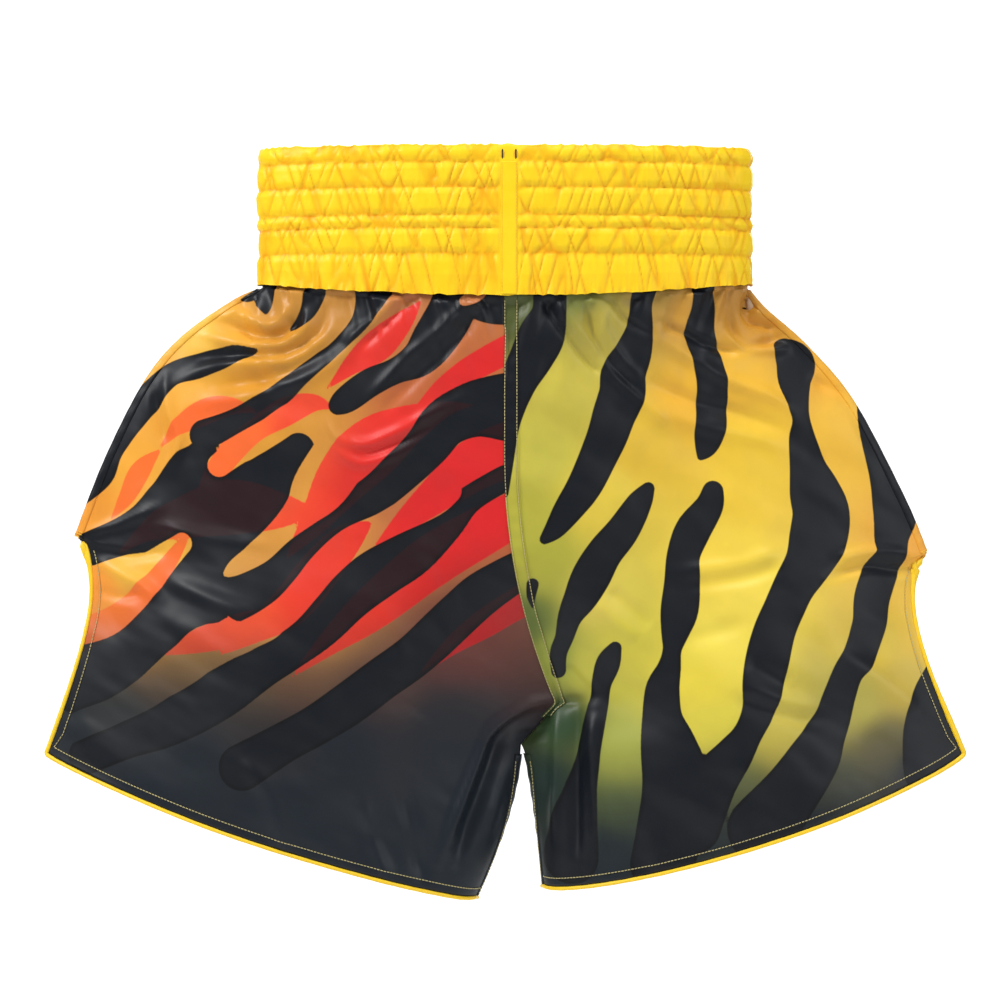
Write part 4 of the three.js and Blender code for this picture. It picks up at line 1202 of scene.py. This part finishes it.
for side in SIDES:
    front, back = (edge_line(grids[face["name"], side["name"]]) for face in FACES)
    turn = (front[-1] + back[-1]) / 2 + np.array([-side["sign"] * 1.0, 0, -0.6])
    line = np.concatenate([front, [turn], back[::-1]])
    top = front[0]
    corner = grids["front", side["name"]]["cloth"][LAST_ROW, ACROSS]
    radii = 1 + bulge(line, top + np.array([0, 0, -8]), 16, 0.7)
    radii += bulge(line, corner + np.array([0, 0, 22]), 24, 0.55 if side is LEFT else 0.15)
    radii += 0.06 * np.sin(np.arange(len(line)) * 1.9)
    radii[[0, -1]] = 0.2
    piping = piping_tube(f"{side['name']}_piping", line, radii)
    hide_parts(f"{side['name']}_leg_piping")
    print(piping.name, "is", round(run_along(line)[-1]), "mm long")

# %% [markdown]
# Stitches are the smallest pieces. Each is a short, thin bar of thread laid along its line, a
# cone operator with five sides, and one mesh holds a whole run.

# %% Stitching
STITCH_PITCH, STITCH_LENGTH, THREAD = 2.4, 1.7, 0.33


def stitched_line(bm, points, pitch=STITCH_PITCH, length=STITCH_LENGTH, thread=THREAD):
    """Adds a run of stitches along a line."""
    run = run_along(points)
    for start in np.arange(0, run[-1] - length, pitch):
        a, b = (Vector(place_on(points, run, distance)) for distance in (start, start + length))
        turn = (b - a).to_track_quat("Z", "Y").to_matrix().to_4x4()
        place = Matrix.Translation((a + b) / 2 * MM) @ turn
        bmesh.ops.create_cone(bm, cap_ends=True, segments=5, radius1=thread * MM, radius2=thread * MM,
                              depth=(b - a).length * MM, matrix=place)


def stitch_piece(name, lines, finish, **sizes):
    """One piece that holds the stitches along some lines."""
    bm = bmesh.new()
    for line in lines:
        stitched_line(bm, line, **sizes)
    piece = object_from(bm, name)
    piece.data.materials.append(finish)
    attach(piece, "root")
    return piece


# %% Topstitching of the hems and seams
HEM_STITCH, HEM_STITCH_RISE = 6.4, CLOTH + 0.12
SEAM_STITCH, SEAM_STITCH_RISE = SEAM_HALF - 0.6, SEAM_RISE + 0.4
FACES_PER_STITCH = 7


def seam_stitches(name, pair, rows):
    """The two rows of stitches of a felled seam, one on each panel."""
    lines = [in_from_edge(grid, rows, SEAM_STITCH, False, SEAM_STITCH_RISE) for grid in pair]
    return stitch_piece(name, lines, thread_beige)


topstitching = []
for key, grid in grids.items():
    vent_rows, hem_columns = range(VENT_ROW + 4, LAST_ROW - 8), range(ACROSS - 9, 3, -1)
    vent = in_from_edge(grid, vent_rows, HEM_STITCH, True, HEM_STITCH_RISE)
    hem = up_from_hem(grid, hem_columns, HEM_STITCH, HEM_STITCH_RISE)
    name = f"{key[0]}_{key[1]}_hem_stitches"
    topstitching.append(stitch_piece(name, [np.concatenate([vent, hem])], thread_beige))
for face in FACES:
    pair = [grids[face["name"], side["name"]] for side in SIDES]
    rows = range(row_at(0.004), row_at(CENTRE_ROWS_END))
    topstitching.append(seam_stitches(f"{face['name']}_seam_stitches", pair, rows))
for side in SIDES:
    pair = [grids[face["name"], side["name"]] for face in FACES]
    rows = range(CROTCH_ROW + 4, LAST_ROW + 1)
    topstitching.append(seam_stitches(f"{side['name']}_inseam_stitches", pair, rows))
print("stitches:", sum(len(piece.data.polygons) // FACES_PER_STITCH for piece in topstitching))

# %% [markdown]
# Two buttonholes let the drawcord out of the top row. Each is a narrow slot bound with close
# stitches all round. Beside them a flat strip runs down the waistband's centre, over the join
# in the casing, with a row of small stitches down each edge.

# %% Centre strip
STRIP_LOW, STRIP_HIGH = (np.array(corner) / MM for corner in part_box("waistband_centre_strip"))
STRIP_CREST = 0.36
STRIP_PLY = 0.4


def strip_places():
    """The strip's places, slightly rounded and rippled by its stitches."""
    across = np.linspace(STRIP_LOW[0], STRIP_HIGH[0], 23)
    down = np.linspace(STRIP_HIGH[2], STRIP_LOW[2] + 0.6, 140)
    x, z = np.meshgrid(across, down)
    bow = 1 - np.abs(2 * (x - STRIP_LOW[0]) / (STRIP_HIGH[0] - STRIP_LOW[0]) - 1)
    ripple = 0.5 * np.sin(-z / 2.9) * np.exp(-bow * 3) + 0.7 * (value_noise(x / 9, z / 11, 51) - 0.5)
    y = CALM_Y - 0.25 - ripple * 0.4 - STRIP_CREST * np.clip(bow * 4, 0, 1)
    return np.stack([x, y, z], -1)


places = strip_places()
centre_strip = sheet_mesh("waistband_strip", places)
face_towards(centre_strip, (0, -1, 0))
# The flat strip gets almost no painted shade.
spread(centre_strip, "crease_shade", np.full(places[..., 0].size, 0.02))
centre_strip.data.materials.append(waist_satin)
thicken(centre_strip, STRIP_PLY)
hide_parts("waistband_centre_strip")
strip_lines = [places[2:-1, column] + np.array([0, -0.3, 0]) for column in (1, -2)]
stitch_piece("strip_stitches", strip_lines, thread_yellow, thread=0.2, length=1.5)
print("centre strip, mm wide:", round(STRIP_HIGH[0] - STRIP_LOW[0], 1))

# %% Buttonholes
BINDING_STITCHES = 44
for end in ("right", "left"):
    low, high = (np.array(corner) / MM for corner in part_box(f"drawcord_buttonhole_{end}"))
    middle, half = (low + high) / 2, (high - low) / 2
    bm = bmesh.new()
    bmesh.ops.create_uvsphere(bm, u_segments=16, v_segments=8, radius=1)
    bmesh.ops.scale(bm, verts=bm.verts, vec=Vector((half[0] * 0.62, 0.5, half[2] * 0.86)) * MM)
    bmesh.ops.translate(bm, verts=bm.verts, vec=Vector((middle[0], CALM_Y + 0.2, middle[2])) * MM)
    shadow = object_from(bm, f"buttonhole_slot_{end}")
    shadow.data.materials.append(slot_shadow)
    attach(shadow, "root")
    lines = []
    for angle in np.linspace(0, 2 * math.pi, BINDING_STITCHES, endpoint=False):
        rim = np.array([math.copysign(abs(math.cos(angle)) ** 0.5, math.cos(angle)) * half[0] * 0.75, 0,
                        math.sin(angle) * half[2] * 0.92])
        spoke = np.array([math.cos(angle), 0, 0.5 * math.sin(angle)]) * 0.45
        centre = np.array([middle[0], CALM_Y - 0.3, middle[2]]) + rim
        lines.append(np.array([centre - spoke, centre + spoke + np.array([0, 0.25, 0])]))
    binding = stitch_piece(f"buttonhole_{end}", lines, thread_yellow, pitch=9, length=0.85, thread=0.24)
    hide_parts(f"drawcord_buttonhole_{end}")
    print(binding.name, "is", (2 * half[2]).round(1), "mm tall")

# %% [markdown]
# A bartack is a bar of dense stitches across the vent's top, where the seam would tear first.

# %% Bartacks
TACK_RISE, TACK_REACH = 1.7, (4, 2, 0.4)
for side in SIDES:
    front, back = (grids[face["name"], side["name"]] for face in FACES)
    lines = []
    for row in range(VENT_ROW - 3, VENT_ROW + 1):
        across = [in_from_edge(front, [row], d, True, TACK_RISE)[0] for d in TACK_REACH]
        across += [in_from_edge(back, [row], d, True, TACK_RISE)[0] for d in TACK_REACH[::-1]]
        lines.append(np.array(across))
    tack = stitch_piece(f"{side['name']}_bartack", lines, thread_yellow, pitch=1.0, length=0.95, thread=0.4)
    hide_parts(f"{side['name']}_vent_bartack")
    print(tack.name, "has", len(tack.data.polygons) // FACES_PER_STITCH, "stitches")

# %% [markdown]
# The four elastics lie hidden in the waistband's rows. Their plain rings are the right shape,
# so they stay as they are and take a ribbed, woven finish.

# %% Elastics
for number in range(1, 5):
    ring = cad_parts[f"elastic_band_{number}"]
    ring.data.materials.clear()
    ring.data.materials.append(elastic_weave)
    print("elastic", number, "has", len(ring.data.polygons), "faces")

# %% [markdown]
# A leg panel isn't a rectangle, and the waistband's strip is wider than the waist because it is gathered.

# %% [markdown]
# Satin needs large soft lights, or its folds don't read. A main light stands high on the left, a
# weaker and wider one fills from the right, one is above and one is behind. A glowing sheet of
# paper behind the shorts gives a plain ground, and the floor is pale, so nothing tints the cloth.

# %% Floor, light and camera
low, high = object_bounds()
FLOOR_Z = -1.0


def plain_plane(name, corners, glow):
    """A flat pale sheet of the studio, which may glow."""
    bm = bmesh.new()
    bmesh.ops.create_grid(bm, x_segments=1, y_segments=1, size=1)
    order = sorted(bm.verts, key=lambda vert: (vert.co.y, vert.co.x))
    for vert, corner in zip(order, corners):
        vert.co = corner
    plane = object_from(bm, name)
    pale = Finish(f"{name}_paper")
    grain = pale.noise(3, 2.0)
    colour = pale.mix(grain, (0.9, 0.9, 0.9), (0.95, 0.95, 0.95))
    plane.data.materials.append(pale.finished(base_color=colour, roughness=0.9, emission_color=(1, 1, 1),
                                              emission_strength=glow))


plain_plane("floor", [(-2, -2, FLOOR_Z), (2, -2, FLOOR_Z), (-2, 2, FLOOR_Z), (2, 2, FLOOR_Z)], 0)
plain_plane("paper", [(-9, 7, -3), (9, 7, -3), (-9, 7, 5), (9, 7, 5)], 1)


def soft_light(name, place, target, size, power):
    """A square area light that faces the target."""
    lamp = bpy.data.lights.new(name, "AREA")
    lamp.shape, lamp.size, lamp.size_y, lamp.energy = "RECTANGLE", size, size, power
    light = bpy.data.objects.new(name, lamp)
    light.location = place
    light.rotation_euler = (Vector(target) - Vector(place)).to_track_quat("-Z", "Y").to_euler()
    bpy.context.collection.objects.link(light)


middle = (low + high) / 2
soft_light("key", (-1.5, -1.0, 1.1), middle, 0.6, 34)
soft_light("fill", (1.5, -1.2, 0.2), middle, 1.1, 9)
soft_light("top", (0.3, -0.6, 1.3), middle, 0.5, 10)
soft_light("rear", (0.6, 1.8, 0.6), middle, 1.2, 22)
world = bpy.data.worlds.new("studio")
world.use_nodes = True
world.node_tree.nodes["Background"].inputs["Color"].default_value = (1, 1, 1, 1)
world.node_tree.nodes["Background"].inputs["Strength"].default_value = 0.3
bpy.context.scene.world = world
bpy.context.scene.view_settings.view_transform = "Standard"

VIEW_WIDTH = 0.70
LENS, SENSOR = 120, 36
camera = bpy.data.objects.new("camera", bpy.data.cameras.new("camera"))
camera.data.lens, camera.data.sensor_width = LENS, SENSOR
camera.location = (-0.0035, -VIEW_WIDTH * LENS / SENSOR, -0.245)
camera.rotation_euler = (math.pi / 2, 0, 0)
bpy.context.collection.objects.link(camera)
bpy.context.scene.camera = camera
print("camera", tuple(round(c, 3) for c in camera.location))
